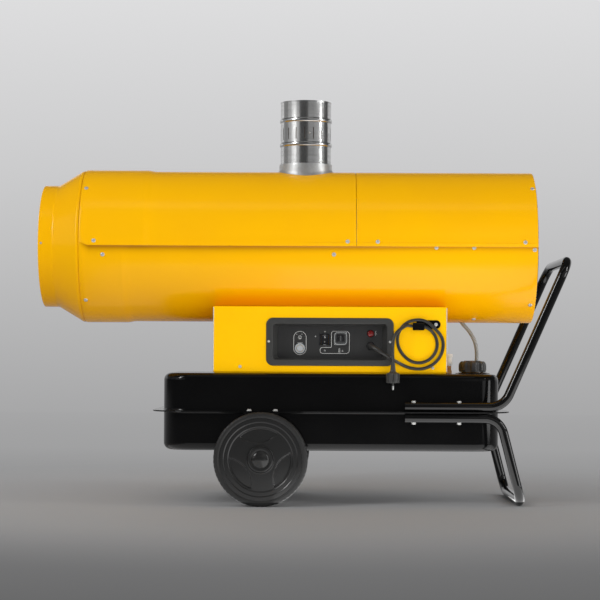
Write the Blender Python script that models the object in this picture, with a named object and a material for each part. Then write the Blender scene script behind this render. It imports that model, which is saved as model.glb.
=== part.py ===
"""Indirect fired heater on a wheeled fuel tank.

The frame stands on the floor: +X runs from the hot air collar to the push
handle, +Y runs from the control side to the far side, +Z is up. X is zero
midway between the collar's rim and the handle's grip bar, Y is zero on the
barrel's axis. All sizes are in metres.
"""
import math

import bmesh
import bpy
from mathutils import Matrix, Quaternion, Vector

# Clearances and working values
touching_gap = 0.0003
running_gap = 0.0007
cut_overrun = 0.02
merge_distance = 0.00001
quarter_turn = math.pi / 2
half_turn = math.pi
full_turn = 2 * math.pi

# Facets of round pieces
large_facets = 36
middle_facets = 24
small_facets = 14
wheel_facets = 24
tube_sides = 8
bend_steps = 4
corner_steps = 4

# Barrel casing
barrel_radius = 0.2205
barrel_sink = 0.0415
barrel_sheet = 0.0012
barrel_front = -0.641
barrel_rear = 0.667
front_band_length = 0.212
front_band_rise = 0.0035
band_joggle = 0.030
seam_drop = 0.008
seam_overlap = 0.014
lip_width = 0.0107
lip_rise = 0.0013
cover_joint_x = 0.150
cover_joint_gap = 0.0008

# Outlet cone and hose collar
collar_radius = 0.179
collar_length = 0.044
cone_length = 0.079
cone_sheet = 0.0015
cone_spigot_length = 0.022
collar_bead_rise = 0.0022
collar_bead_width = 0.008

# Combustion chamber and heat exchanger
hot_sheet = 0.002
casing_air_gap = 0.0325
gas_passage = 0.028
chamber_air_gap = 0.015
chamber_front = -0.390
chamber_rear = 0.170
chamber_dome = 0.045
exchanger_overhang = 0.005
exchanger_rear = 0.140
transfer_length = 0.060
cradle_front = -0.300
cradle_length = 0.320
cradle_plate = 0.003
cradle_half_angle = math.radians(38)

# Flue
flue_x = 0.003
flue_radius = 0.0745
flue_sheet = 0.0009
flue_length = 0.226
flue_socket_depth = 0.038
flue_bead_places = (0.0993, 0.1705)
flue_bead_rise = 0.0026
flue_bead_width = 0.009
spigot_sheet = 0.0015
spigot_rise = 0.018
spigot_seat_overlap = 0.005
flue_collar_sheet = 0.0012
flue_collar_flare = 0.0035
flue_collar_height = 0.021
flue_collar_shoulder = 0.007
flue_collar_skirt = 0.028

# Burner
burner_tube_radius = 0.055
burner_tube_sheet = 0.0018
burner_pump_gap = 0.0164
burner_flange_radius = 0.082
burner_flange_plate = 0.004
nozzle_disc_offset = 0.020
nozzle_disc_plate = 0.004
nozzle_rod_radius = 0.009
nozzle_rod_length = 0.120
nozzle_tip_radius = 0.005
nozzle_tip_length = 0.012

# Motor, pump and fan
motor_length = 0.140
motor_fan_gap = 0.042
motor_radius = 0.062
motor_bell_length = 0.026
motor_bell_radius = 0.066
motor_boss_radius = 0.022
motor_boss_length = 0.008
shaft_radius = 0.007
shaft_front_length = 0.025
shaft_rear_length = 0.028
pump_length = 0.058
pump_width = 0.062
pump_height = 0.070
pump_edge = 0.006
pump_bore_depth = 0.030
bracket_place = 0.070
bracket_arms = 4
bracket_plate = 0.004
bracket_arm_width = 0.032
bracket_ring_width = 0.016
bracket_foot_length = 0.030
fan_setback = 0.055
fan_tip_gap = 0.0143
fan_hub_radius = 0.046
fan_hub_length = 0.044
fan_hub_wall = 0.004
fan_boss_radius = 0.016
fan_blade_plate = 0.0028
fan_root_chord = 0.070
fan_tip_chord = 0.112
fan_root_pitch = math.radians(48)
fan_tip_pitch = math.radians(24)
fan_camber_share = 0.09
fan_root_sink = 0.0015
fan_blades = 6
blade_spans = 4
blade_chords = 4

# Inlet guard
guard_wire = 0.0036
guard_rim_wire = 0.0055
guard_overhang = 0.0015
guard_ring_facets = (12, 14, 18, 22)
guard_spokes = 6
guard_first_ring = 0.056

# Cradle box under the barrel
box_side_setback = 0.026
box_left_setback = 0.1435
box_right_setback = 0.1505
box_sheet = 0.0015
box_base_plate = 0.0015
box_return = 0.018
box_base_inset = 0.003
louvre_count = 6
louvre_width = 0.008
louvre_height = 0.080
louvre_pitch = 0.030

# Control panel
panel_place = 0.3327
panel_foot_margin = 0.0212
panel_head_margin = 0.0323
panel_width = 0.3640
panel_height = 0.1370
panel_corner = 0.020
panel_proud = 0.005
panel_edge_radius = 0.0025
panel_open_width = 0.3255
panel_open_height = 0.1020
panel_open_corner = 0.009
panel_floor_width = 0.2995
panel_floor_height = 0.0920
panel_floor_corner = 0.006
panel_depth = 0.030
panel_wall = 0.0025

# Pieces on the control panel, placed from its middle
reset_place = (-0.0856, -0.0186)
reset_bezel_radius = 0.0146
reset_bore_radius = 0.0106
reset_shank_radius = 0.0122
reset_bezel_proud = 0.004
reset_shank_length = 0.014
reset_button_proud = 0.0065
reset_button_length = 0.0120
reset_chamfer = 0.0016
reset_dome = 0.0016
reset_dome_edge = 0.0005
switch_place = (-0.0145, 0.0058)
switch_frame_width = 0.0304
switch_frame_height = 0.0338
switch_frame_proud = 0.0025
switch_body_depth = 0.017
switch_wall = 0.0022
rocker_radius = 0.0133
rocker_depth = 0.0010
rocker_front_rise = 0.0060
rocker_front_dip = 0.0035
rocker_back = 0.004
rocker_tilt = math.radians(10)
rocker_arc_steps = 5
socket_place = (0.0306, 0.0101)
socket_flange_size = 0.0400
socket_flange_corner = 0.010
socket_flange_proud = 0.006
socket_body_size = 0.0270
socket_body_corner = 0.003
socket_depth = 0.016
socket_bore_size = 0.0190
socket_plug_size = 0.0240
socket_plug_corner = 0.004
socket_plug_proud = 0.014
socket_plug_neck = 0.006
lamp_place = (0.1166, 0.0245)
lamp_radius = 0.0095
lamp_rim_radius = 0.0108
lamp_shank_radius = 0.0065
lamp_proud = 0.008
lamp_rim_height = 0.0018
lamp_dome_shares = ((1, 0), (0.87, 0.5), (0.5, 0.87), (0, 1))
lamp_shank_length = 0.018
gland_place = (0.1164, -0.0111)
gland_nut_radius = 0.0125
gland_nut_height = 0.006
gland_nose_radius = 0.0085
gland_nose_length = 0.012
gland_shank_radius = 0.0082
gland_shank_length = 0.012

# Mains cord, its strap and its plug, placed from the box's right edge and the panel's middle
cord_radius = 0.0045
cord_gap = 0.0006
cord_straight = 0.010
cord_join_straight = 0.012
cord_spacing = 0.0225
coil_setback = 0.0805
coil_drop = 0.0057
coil_start_radius = 0.0700
coil_end_radius = 0.0525
coil_dent = 0.0060
coil_dent_angle = math.radians(45)
coil_dent_spread = math.radians(24)
coil_start_angle = math.radians(-100)
coil_end_angle = math.radians(455)
coil_points_per_turn = 24
coil_narrow_from = math.radians(110)
coil_narrow_to = math.radians(230)
cord_box_gap = 0.001
strap_setback = 0.0305
strap_lift = 0.0508
strap_width = 0.0246
strap_length = 0.0560
strap_plate = 0.003
strap_end_steps = 6
clip_setback = 0.0652
clip_width = 0.0328
clip_lift = 0.0341
clip_height = 0.0217
clip_wall = 0.0025
clip_room = 0.0110
plug_swing = 0.0745
plug_out = 0.0475
plug_drop = 0.110
plug_body_radius = 0.0198
plug_body_length = 0.0300
plug_neck_radius = 0.0075
plug_taper_length = 0.012
plug_pin_radius = 0.0024
plug_pin_length = 0.0190
plug_pin_spacing = 0.0190
plug_grip_depth = 0.0022
plug_grip_start = 0.006
plug_shoulder_radius = 0.0145
plug_grips = 8
pin_facets = 8
lead_route = (
    (0.0059, 0.0150, -0.0036),
    (0.0204, 0.0285, -0.0126),
    (0.0374, 0.0310, -0.0231),
    (0.0554, 0.0265, -0.0341),
    (0.0754, 0.0150, -0.0456),
    (0.0954, 0.0070, -0.0556),
)
tail_route = (
    (-0.0330, 0.0140, 0.0535),
    (-0.0450, 0.0190, 0.0475),
    (-0.0570, 0.0230, 0.0395),
    (-0.0665, 0.0260, 0.0290),
    (-0.0720, 0.0290, 0.0155),
    (-0.0745, 0.0330, -0.0025),
    (-0.0750, 0.0380, -0.0260),
    (-0.0745, 0.0440, -0.0425),
)

# Fuel tank
tank_left = -0.400
tank_right = 0.560
tank_half_width = 0.226
tank_axle_rise = 0.021
tank_height = 0.220
tank_sheet = 0.002
tank_corner = 0.080
tank_edge_radius = 0.020
flange_rise = 0.1114
flange_overhang = 0.032
edge_arc_steps = 3

# Filler
filler_setback = 0.070
filler_y = -0.1000
neck_radius = 0.0325
neck_wall = 0.0020
neck_height = 0.0261
neck_flange_radius = 0.0500
neck_flange_plate = 0.0025
strainer_radius = 0.0285
strainer_wall = 0.0012
strainer_depth = 0.080
strainer_rim_plate = 0.0015
cap_core_radius = 0.0310
cap_core_plate = 0.003
cap_plug_radius = 0.0262
cap_plug_length = 0.008
cap_stem_radius = 0.012
cap_stem_length = 0.004
cap_radius = 0.0400
cap_top_radius = 0.0310
cap_foot_radius = 0.0385
cap_height = 0.0330
cap_roof = 0.0065
cap_side_gap = 0.0015
cap_lobe_rise = 0.0016
cap_lobes = 8
cap_points_per_lobe = 4
cap_skirt_share = 0.2
cap_grip_share = 0.72
cap_crown_share = 0.94

# Fuel hose and filter
hose_radius = 0.0055
hose_bore_radius = 0.0035
hose_sides = 6
hose_entry_place = 0.0366
hose_tank_setback = 0.0524
hose_hole_clearance = 0.0030
hose_lower_shares = ((0, 0.3), (0.08, 0.55), (0.45, 0.82), (1, 1))
hose_upper_shares = ((0.5, 0.38), (1, 0.8), (1, 1))
boss_radius = 0.009
boss_height = 0.008
filter_box_gap = 0.014
filter_y = -0.060
filter_radius = 0.0110
filter_cap_radius = 0.0125
filter_lift = 0.0225
filter_length = 0.034
filter_foot_radius = 0.0077
filter_stub_radius = 0.004
fitting_radius = 0.0075
fitting_hex_radius = 0.0095
fitting_hex_height = 0.009
fitting_foot = 0.006

# Electrical pieces inside the box
control_unit_x = -0.180
control_unit_length = 0.095
control_unit_width = 0.062
control_unit_height = 0.100
transformer_x = 0.330
transformer_length = 0.080
transformer_width = 0.070
transformer_height = 0.060
unit_edge = 0.004
transformer_lead_radius = 0.009
transformer_lead_height = 0.012

# Axle, brackets and wheels
axle_x = -0.117
wheel_radius = 0.1325
axle_radius = 0.010
wheel_flange_gap = 0.006
wheel_width = 0.040
tyre_depth = 0.0165
tyre_shoulder = 0.0055
tyre_inset = 0.002
rim_inset = 0.003
web_face_inset = 0.0075
web_plate = 0.007
hub_radius = 0.034
hub_proud = 0.0005
hub_slope = 0.003
hub_cap_radius = 0.0246
hub_cap_recess = 0.007
hub_cap_rise = 0.0085
rim_ring_radius = 0.0900
rim_step_width = 0.0060
wheel_rim_edge = 0.0035
pocket_count = 3
pocket_depth = 0.003
pocket_outer_radius = 0.0860
pocket_arc_radius = 0.0741
pocket_arc_centre = 0.1201
pocket_first_angle = math.radians(95)
pocket_arc_steps = 6
bracket_tab_length = 0.100
bracket_tab_width = 0.024
axle_bracket_plate = 0.003
axle_bracket_gap = 0.003
axle_eye_radius = 0.024
axle_eye_steps = 8

# Handle and support leg
tube_radius = 0.0135
tube_wall = 0.0015
tube_y_clearance = 0.0025
handle_start_x = 0.289
handle_rise_x = 0.5674
handle_bar_x = 0.7505
handle_lift = 0.41656
handle_bend = 0.060
handle_top_bend = 0.055
leg_drop_x = 0.5572
leg_foot_x = 0.6170
leg_bend = 0.055
leg_foot_bend = 0.050

# Derived places, from the floor up
axle_height = wheel_radius
tank_bottom = axle_height + tank_axle_rise
tank_top = tank_bottom + tank_height
flange_height = tank_bottom + flange_rise
box_front_y = tank_half_width - box_side_setback
box_left = tank_left + box_left_setback
box_right = tank_right - box_right_setback
panel_x = box_left + panel_place
panel_z = tank_top + panel_foot_margin + panel_height / 2
box_top = panel_z + panel_height / 2 + panel_head_margin
axis_height = box_top + barrel_radius - barrel_sink
cone_joint_radius = barrel_radius + front_band_rise
cover_radius = barrel_radius + touching_gap + barrel_sheet
barrel_bore = barrel_radius - barrel_sheet
collar_end = barrel_front - cone_length - collar_length
exchanger_radius = barrel_radius - casing_air_gap
exchanger_inner_radius = exchanger_radius - gas_passage
exchanger_front = chamber_front - exchanger_overhang
chamber_radius = exchanger_inner_radius - chamber_air_gap
spigot_inner = flue_radius + touching_gap
spigot_outer = spigot_inner + spigot_sheet
spigot_top = axis_height + cover_radius + spigot_rise
flue_bottom = spigot_top - flue_socket_depth
flue_top = flue_bottom + flue_length
flue_collar_inner = spigot_outer + touching_gap
fan_x = barrel_rear - fan_setback
fan_radius = barrel_bore - fan_tip_gap
motor_rear = fan_x - motor_fan_gap
motor_front = motor_rear - motor_length
bracket_x = motor_front + bracket_place
pump_rear = motor_front - touching_gap
pump_front = pump_rear - pump_length
burner_tube_start = chamber_rear + touching_gap
burner_tube_end = pump_front - burner_pump_gap
shaft_front = motor_front - shaft_front_length
shaft_rear = fan_x + shaft_rear_length
box_base_bottom = tank_top + touching_gap
box_base_top = box_base_bottom + box_base_plate
box_bottom = box_base_top + touching_gap
panel_front = -box_front_y - panel_proud
panel_floor_y = -box_front_y + panel_depth
coil_x = box_right - coil_setback
coil_z = panel_z - coil_drop
strap_x = box_right - strap_setback
strap_z = panel_z + strap_lift
clip_right = box_right - clip_setback
clip_bottom = panel_z + clip_lift
plug_x = coil_x - plug_swing
plug_y = -box_front_y - plug_out
plug_face_z = coil_z - plug_drop
filler_x = tank_right - filler_setback
neck_top = tank_top + neck_height
hose_entry_x = motor_front + hose_entry_place
hose_tank_x = tank_right - hose_tank_setback
filter_x = box_right + filter_box_gap
filter_bottom = tank_top + filter_lift
wheel_inner_y = tank_half_width + flange_overhang + wheel_flange_gap
wheel_outer_y = wheel_inner_y + wheel_width
rim_radius = wheel_radius - tyre_depth
axle_bore = axle_radius + running_gap
flange_top = flange_height + touching_gap / 2 + tank_sheet
flange_underside = flange_height - touching_gap / 2 - tank_sheet
tube_y = tank_half_width + tube_y_clearance + tube_radius
handle_lean = math.atan2(handle_lift, handle_bar_x - handle_rise_x)
tube_step = full_turn / tube_sides
handle_corner = (handle_lean - quarter_turn + tube_step / 2) % tube_step - tube_step / 2
handle_run_z = flange_top + touching_gap + tube_radius * math.cos(handle_corner)
handle_bar_z = handle_run_z + handle_lift
leg_run_z = flange_underside - touching_gap - tube_radius


def material(name, colour, roughness, metallic):
    """A plain Principled material."""
    shade = bpy.data.materials.new(name)
    shade.use_nodes = True
    shader = shade.node_tree.nodes["Principled BSDF"]
    shader.inputs["Base Color"].default_value = (*colour, 1)
    shader.inputs["Roughness"].default_value = roughness
    shader.inputs["Metallic"].default_value = metallic
    shade.diffuse_color = (*colour, 1)
    return shade


def add_object(name, bm, shade, origin=(0, 0, 0), parent=None, smooth=True):
    """Turns a closed bmesh into a named object whose faces point out."""
    bmesh.ops.remove_doubles(bm, verts=bm.verts, dist=merge_distance)
    bmesh.ops.recalc_face_normals(bm, faces=bm.faces)
    mesh = bpy.data.meshes.new(name)
    bm.to_mesh(mesh)
    bm.free()
    if smooth:
        mesh.shade_smooth()
        mesh.set_sharp_from_angle(angle=math.radians(35))
    if shade:
        mesh.materials.append(shade)
    piece = bpy.data.objects.new(name, mesh)
    piece.location = origin
    piece.parent = parent
    bpy.context.scene.collection.objects.link(piece)
    return piece


def cut(piece, name, bm, operation="DIFFERENCE"):
    """Adds a Boolean with a hidden wire cutter, placed like the piece."""
    cutter = add_object(name, bm, None, piece.location, piece.parent, smooth=False)
    cutter.hide_render = True
    cutter.display_type = "WIRE"
    boolean = piece.modifiers.new(name, "BOOLEAN")
    boolean.operation = operation
    boolean.solver = "EXACT"
    boolean.object = cutter
    return cutter


def soften(piece, width, segments=2):
    """Rounds a piece's sharp edges."""
    bevel = piece.modifiers.new("edges", "BEVEL")
    bevel.width = width
    bevel.segments = segments
    bevel.limit_method = "ANGLE"
    bevel.angle_limit = math.radians(50)


def axis_frame(axis):
    """The unit vector along an axis, and the one a turned profile starts on."""
    along = {"X": Vector((1, 0, 0)), "Y": Vector((0, 1, 0)), "Z": Vector((0, 0, 1))}[axis]
    start = Vector((1, 0, 0)) if axis == "Z" else Vector((0, 0, -1))
    return along, start


def turned(profile, facets, axis="X", centre=(0, 0, 0), closed=True):
    """Spins a profile of (place along the axis, radius) round an axis.

    A closed profile stays off the axis; an open one starts and ends on it.
    """
    along, start = axis_frame(axis)
    bm = bmesh.new()
    middle = Vector(centre)
    points = [bm.verts.new(middle + along * place + start * radius) for place, radius in profile]
    pairs = list(zip(points, points[1:]))
    if closed:
        pairs.append((points[-1], points[0]))
    lines = [bm.edges.new(pair) for pair in pairs]
    bmesh.ops.spin(bm, geom=points + lines, cent=middle, axis=along, angle=full_turn,
                   steps=facets, use_merge=True)
    bmesh.ops.remove_doubles(bm, verts=bm.verts, dist=merge_distance)
    return bm


def disc(radius, low, high, facets, axis="Z", centre=(0, 0, 0)):
    """A closed cylinder between two places along an axis."""
    profile = [(low, 0), (low, radius), (high, radius), (high, 0)]
    return turned(profile, facets, axis, centre, closed=False)


def tube_ring(inner, outer, low, high, facets, axis="Z", centre=(0, 0, 0)):
    """A plain ring with a bore, between two places along an axis."""
    profile = [(low, inner), (low, outer), (high, outer), (high, inner)]
    return turned(profile, facets, axis, centre)


def block(low, high):
    """A closed box between two corners."""
    bm = bmesh.new()
    bmesh.ops.create_cube(bm, size=1)
    low, high = Vector(low), Vector(high)
    middle = (low + high) / 2
    for point in bm.verts:
        point.co = middle + Vector(a * b for a, b in zip(point.co, high - low))
    return bm


def rounded_outline(half_width, half_height, radius, steps):
    """Corner arcs of a rounded rectangle, counter-clockwise."""
    points = []
    for corner, (side_u, side_v) in enumerate(((1, 1), (-1, 1), (-1, -1), (1, -1))):
        middle_u = side_u * (half_width - radius)
        middle_v = side_v * (half_height - radius)
        for step in range(steps + 1):
            angle = quarter_turn * (corner + step / steps)
            points.append((middle_u + radius * math.cos(angle), middle_v + radius * math.sin(angle)))
    return points


def loft(rings, closed=False):
    """Skins matching rings of points; open lofts get flat end caps."""
    bm = bmesh.new()
    rows = [[bm.verts.new(point) for point in ring] for ring in rings]
    pairs = list(zip(rows, rows[1:]))
    if closed:
        pairs.append((rows[-1], rows[0]))
    for row, following in pairs:
        for place in range(len(row)):
            after = (place + 1) % len(row)
            bm.faces.new((row[place], row[after], following[after], following[place]))
    if not closed:
        bm.faces.new(rows[0])
        bm.faces.new(list(reversed(rows[-1])))
    return bm


def prism(outline, direction):
    """Extrudes a flat outline of points along a direction."""
    bm = bmesh.new()
    face = bm.faces.new([bm.verts.new(point) for point in outline])
    grown = bmesh.ops.extrude_face_region(bm, geom=[face])
    moved = [item for item in grown["geom"] if isinstance(item, bmesh.types.BMVert)]
    bmesh.ops.translate(bm, verts=moved, vec=direction)
    return bm


def merged(*parts):
    """Puts several bmeshes into one."""
    whole = bmesh.new()
    for part in parts:
        mesh = bpy.data.meshes.new("part")
        part.to_mesh(mesh)
        part.free()
        whole.from_mesh(mesh)
        bpy.data.meshes.remove(mesh)
    return whole


def rounded_path(corners, radii, steps):
    """A route through corners, each rounded by an arc of its own radius."""
    points = [Vector(corners[0])]
    for place, radius in enumerate(radii, start=1):
        corner = Vector(corners[place])
        back = (Vector(corners[place - 1]) - corner).normalized()
        ahead = (Vector(corners[place + 1]) - corner).normalized()
        turn = half_turn - back.angle(ahead)
        reach = radius * math.tan(turn / 2)
        middle = corner + (back + ahead).normalized() * radius / math.cos(turn / 2)
        arm = corner + back * reach - middle
        swing = Quaternion(back.cross(ahead) * -1, turn / steps)
        for _ in range(steps + 1):
            points.append(middle + arm)
            arm = swing @ arm
    points.append(Vector(corners[-1]))
    return points


def swept_tube(path, radius, wall, sides, first_normal, phase=0):
    """A tube with a bore and open ends, carried along a path."""
    outer, inner = [], []
    normal = Vector(first_normal)
    for place, point in enumerate(path):
        back = path[max(place - 1, 0)]
        ahead = path[min(place + 1, len(path) - 1)]
        tangent = (ahead - point).normalized() + (point - back).normalized()
        tangent.normalize()
        normal = (normal - tangent * normal.dot(tangent)).normalized()
        side = tangent.cross(normal)
        spokes = []
        for number in range(sides):
            angle = phase + full_turn * number / sides
            spokes.append(normal * math.cos(angle) + side * math.sin(angle))
        outer.append([point + spoke * radius for spoke in spokes])
        inner.append([point + spoke * (radius - wall) for spoke in spokes])
    return loft(outer + inner[::-1], closed=True)


def smooth_route(points, spacing):
    """Points a spacing apart on a smooth curve; the first and last stretch stay straight."""
    route = [Vector(point) for point in points]
    fine_steps = 24
    dense = []
    for place in range(1, len(route) - 2):
        first, second, third, fourth = route[place - 1:place + 3]
        for step in range(fine_steps):
            share = step / fine_steps
            dense.append(0.5 * (2 * second + (third - first) * share
                                + (2 * first - 5 * second + 4 * third - fourth) * share ** 2
                                + (3 * second - first - 3 * third + fourth) * share ** 3))
    dense.append(route[-2])
    length = sum((b - a).length for a, b in zip(dense, dense[1:]))
    count = max(2, round(length / spacing))
    step_length = length / count
    result, travelled, wanted = [route[0], dense[0]], 0, step_length
    for a, b in zip(dense, dense[1:]):
        piece = (b - a).length
        while travelled + piece >= wanted and len(result) <= count:
            result.append(a.lerp(b, (wanted - travelled) / piece))
            wanted += step_length
        travelled += piece
    return result + [route[-2], route[-1]]


def cord_curve(name, points, radius, resolution, shade, parent):
    """A cord stretch: a poly curve with a round bevel and filled ends."""
    data = bpy.data.curves.new(name, "CURVE")
    data.dimensions = "3D"
    spline = data.splines.new("POLY")
    spline.points.add(len(points) - 1)
    for place, point in zip(spline.points, points):
        place.co = (*point, 1)
    data.bevel_depth = radius
    data.bevel_resolution = resolution
    data.use_fill_caps = True
    data.materials.append(shade)
    piece = bpy.data.objects.new(name, data)
    piece.parent = parent
    bpy.context.scene.collection.objects.link(piece)
    return piece


def flats_radius(radius, facets):
    """How near the flats of a faceted circle come to its axis."""
    return radius * math.cos(half_turn / facets)


def faceted_arc(radius, facets, start, end):
    """Angles and reaches along a faceted circle: its corners, and ends on its flats.

    Angles run from +Y towards +Z; one corner lies straight below the axis.
    """
    step = full_turn / facets
    slack = step / 1000

    def reach(angle):
        local = (angle + quarter_turn) % step
        return flats_radius(radius, facets) / math.cos(local - step / 2)

    first = math.ceil((start + quarter_turn + slack) / step)
    last = math.floor((end + quarter_turn - slack) / step)
    points = [(start, reach(start))]
    points += [(step * number - quarter_turn, radius) for number in range(first, last + 1)]
    points.append((end, reach(end)))
    return points


def band_radius(base, x):
    """The casing's outer radius at a place along it: the front band stands proud."""
    band_end = barrel_front + front_band_length
    share = min(max((x - band_end) / band_joggle, 0), 1)
    return base + front_band_rise * (1 - share)


def casing_shell(name, x_start, x_end, angle_start, angle_end, base, lip, shade, parent):
    """A curved sheet round the barrel's axis, with raised lips on its long edges.

    Angles run from +Y over the top to -Y.
    """
    band_end = barrel_front + front_band_length
    stations = [x_start]
    stations += [x for x in (band_end, band_end + band_joggle) if x_start < x < x_end]
    stations.append(x_end)
    inner_start, inner_end = angle_start, angle_end
    if lip:
        fold_angle = (lip_width + lip_rise) / base
        inner_start += fold_angle
        inner_end -= fold_angle
    main_arc = faceted_arc(1, large_facets, inner_start, inner_end)
    first_lip, last_lip = [], []
    if lip:
        lip_angle = lip_width / base
        first_lip = faceted_arc(1, large_facets, angle_start, angle_start + lip_angle)
        last_lip = faceted_arc(1, large_facets, angle_end - lip_angle, angle_end)

    def strip(x, depth):
        points = []
        for arc, rise in ((first_lip, lip_rise), (main_arc, 0), (last_lip, lip_rise)):
            for angle, reach in arc:
                radius = (band_radius(base, x) + rise - depth) * reach
                points.append((x, radius * math.cos(angle), axis_height + radius * math.sin(angle)))
        return points

    rings = [strip(x, 0) + strip(x, barrel_sheet)[::-1] for x in stations]
    return add_object(name, loft(rings), shade, parent=parent)


def make_casing(paint, parent):
    """Lower trough and the two upper covers that lap over its edges."""
    drop = math.asin(seam_drop / cover_radius)
    lap = math.asin((seam_overlap - seam_drop) / barrel_radius)
    lower = casing_shell("casing_lower", barrel_front, barrel_rear, half_turn - lap,
                         full_turn + lap, barrel_radius, False, paint, parent)
    hole = hose_radius + hose_hole_clearance
    cut(lower, "hose_hole", disc(hole, axis_height - barrel_radius - cut_overrun,
                                 axis_height - barrel_bore + cut_overrun, small_facets, "Z",
                                 (hose_entry_x, 0, 0)))
    front = casing_shell("casing_upper_front", barrel_front, cover_joint_x, -drop,
                         half_turn + drop, cover_radius, True, paint, parent)
    cut(front, "flue_hole", disc(spigot_outer + touching_gap, axis_height,
                                 axis_height + cover_radius + cut_overrun, middle_facets, "Z",
                                 (flue_x, 0, 0)))
    casing_shell("casing_upper_rear", cover_joint_x + cover_joint_gap, barrel_rear, -drop,
                 half_turn + drop, cover_radius, True, paint, parent)


def make_outlet(paint, parent):
    """Cone and hose collar, spun from one sheet, with a spigot into the barrel."""
    bead = collar_end + collar_length / 2
    half_bead = collar_bead_width / 2
    spigot_radius = barrel_bore + front_band_rise - touching_gap
    outer = [
        (collar_end, collar_radius),
        (bead - half_bead, collar_radius),
        (bead, collar_radius + collar_bead_rise),
        (bead + half_bead, collar_radius),
        (collar_end + collar_length, collar_radius),
        (barrel_front - touching_gap, cone_joint_radius),
        (barrel_front - touching_gap, spigot_radius),
        (barrel_front + cone_spigot_length, spigot_radius),
    ]
    spigot_inside = spigot_radius - cone_sheet
    inner = [
        (barrel_front + cone_spigot_length, spigot_inside),
        (barrel_front - cone_sheet, spigot_inside),
        (collar_end + collar_length, collar_radius - cone_sheet),
        (collar_end, collar_radius - cone_sheet),
    ]
    bm = turned(outer + inner, large_facets, "X", (0, 0, axis_height))
    add_object("outlet_cone", bm, paint, parent=parent)


def make_chamber(steel, parent):
    """Burner can with a domed front and a port for the blast tube."""
    port = burner_tube_radius - burner_tube_sheet
    straight = chamber_front + chamber_dome
    dome_steps = 3
    outer = [(chamber_rear, port), (chamber_rear, chamber_radius)]
    inner = [(chamber_rear - hot_sheet, port), (chamber_rear - hot_sheet, chamber_radius - hot_sheet)]
    for step in range(dome_steps + 1):
        angle = quarter_turn * step / dome_steps
        radius_share = math.cos(angle)
        depth = chamber_dome * math.sin(angle)
        outer.append((straight - depth, chamber_radius * radius_share))
        inner.append((straight + hot_sheet - depth, (chamber_radius - hot_sheet) * radius_share))
    outer[-1] = (chamber_front, 0)
    inner[-1] = (chamber_front + hot_sheet, 0)
    profile = outer[::-1] + inner
    bm = turned(profile, middle_facets, "X", (0, 0, axis_height), closed=False)
    add_object("combustion_chamber", bm, steel, parent=parent)


def make_exchanger(steel, parent):
    """Hollow drum round the chamber; its front ring seats on the chamber."""
    seat = chamber_radius + touching_gap
    ring_end = exchanger_front + transfer_length
    body = [
        (exchanger_front, seat),
        (exchanger_front, exchanger_radius),
        (exchanger_rear, exchanger_radius),
        (exchanger_rear, exchanger_inner_radius),
        (ring_end, exchanger_inner_radius),
        (ring_end, seat),
    ]
    room = [
        (exchanger_front + hot_sheet, seat + hot_sheet),
        (exchanger_front + hot_sheet, exchanger_radius - hot_sheet),
        (exchanger_rear - hot_sheet, exchanger_radius - hot_sheet),
        (exchanger_rear - hot_sheet, exchanger_inner_radius + hot_sheet),
        (ring_end - hot_sheet, exchanger_inner_radius + hot_sheet),
        (ring_end - hot_sheet, seat + hot_sheet),
    ]
    centre = (0, 0, axis_height)
    drum = add_object("heat_exchanger", turned(body, middle_facets, "X", centre), steel,
                      parent=parent)
    cut(drum, "exchanger_room", turned(room, middle_facets, "X", centre))
    port_low = axis_height + exchanger_inner_radius + 2 * hot_sheet
    cut(drum, "flue_port", disc(spigot_inner - spigot_seat_overlap, port_low,
                                axis_height + exchanger_radius + cut_overrun, small_facets, "Z",
                                (flue_x, 0, 0)))


def sector_ring(inner, outer, half_angle, x_low, x_high):
    """A curved bar below the axis, between the drum's facets and the casing's."""
    start, end = -quarter_turn - half_angle, -quarter_turn + half_angle
    arc = faceted_arc(outer, large_facets, start, end)
    arc += faceted_arc(inner, middle_facets, start, end)[::-1]
    outline = [(x_low, reach * math.cos(angle), axis_height + reach * math.sin(angle))
               for angle, reach in arc]
    return prism(outline, (x_high - x_low, 0, 0))


def make_cradle(steel, parent):
    """Saddle that carries the exchanger: two crescent webs on a curved strip."""
    outer = barrel_bore - touching_gap
    inner = exchanger_radius + touching_gap
    cradle = add_object("exchanger_saddle",
                        sector_ring(inner, outer, cradle_half_angle, cradle_front,
                                    cradle_front + cradle_length),
                        steel, parent=parent)
    room = sector_ring(inner - cut_overrun, outer - cradle_plate, 2 * cradle_half_angle,
                       cradle_front + cradle_plate, cradle_front + cradle_length - cradle_plate)
    cut(cradle, "saddle_room", room)


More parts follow.
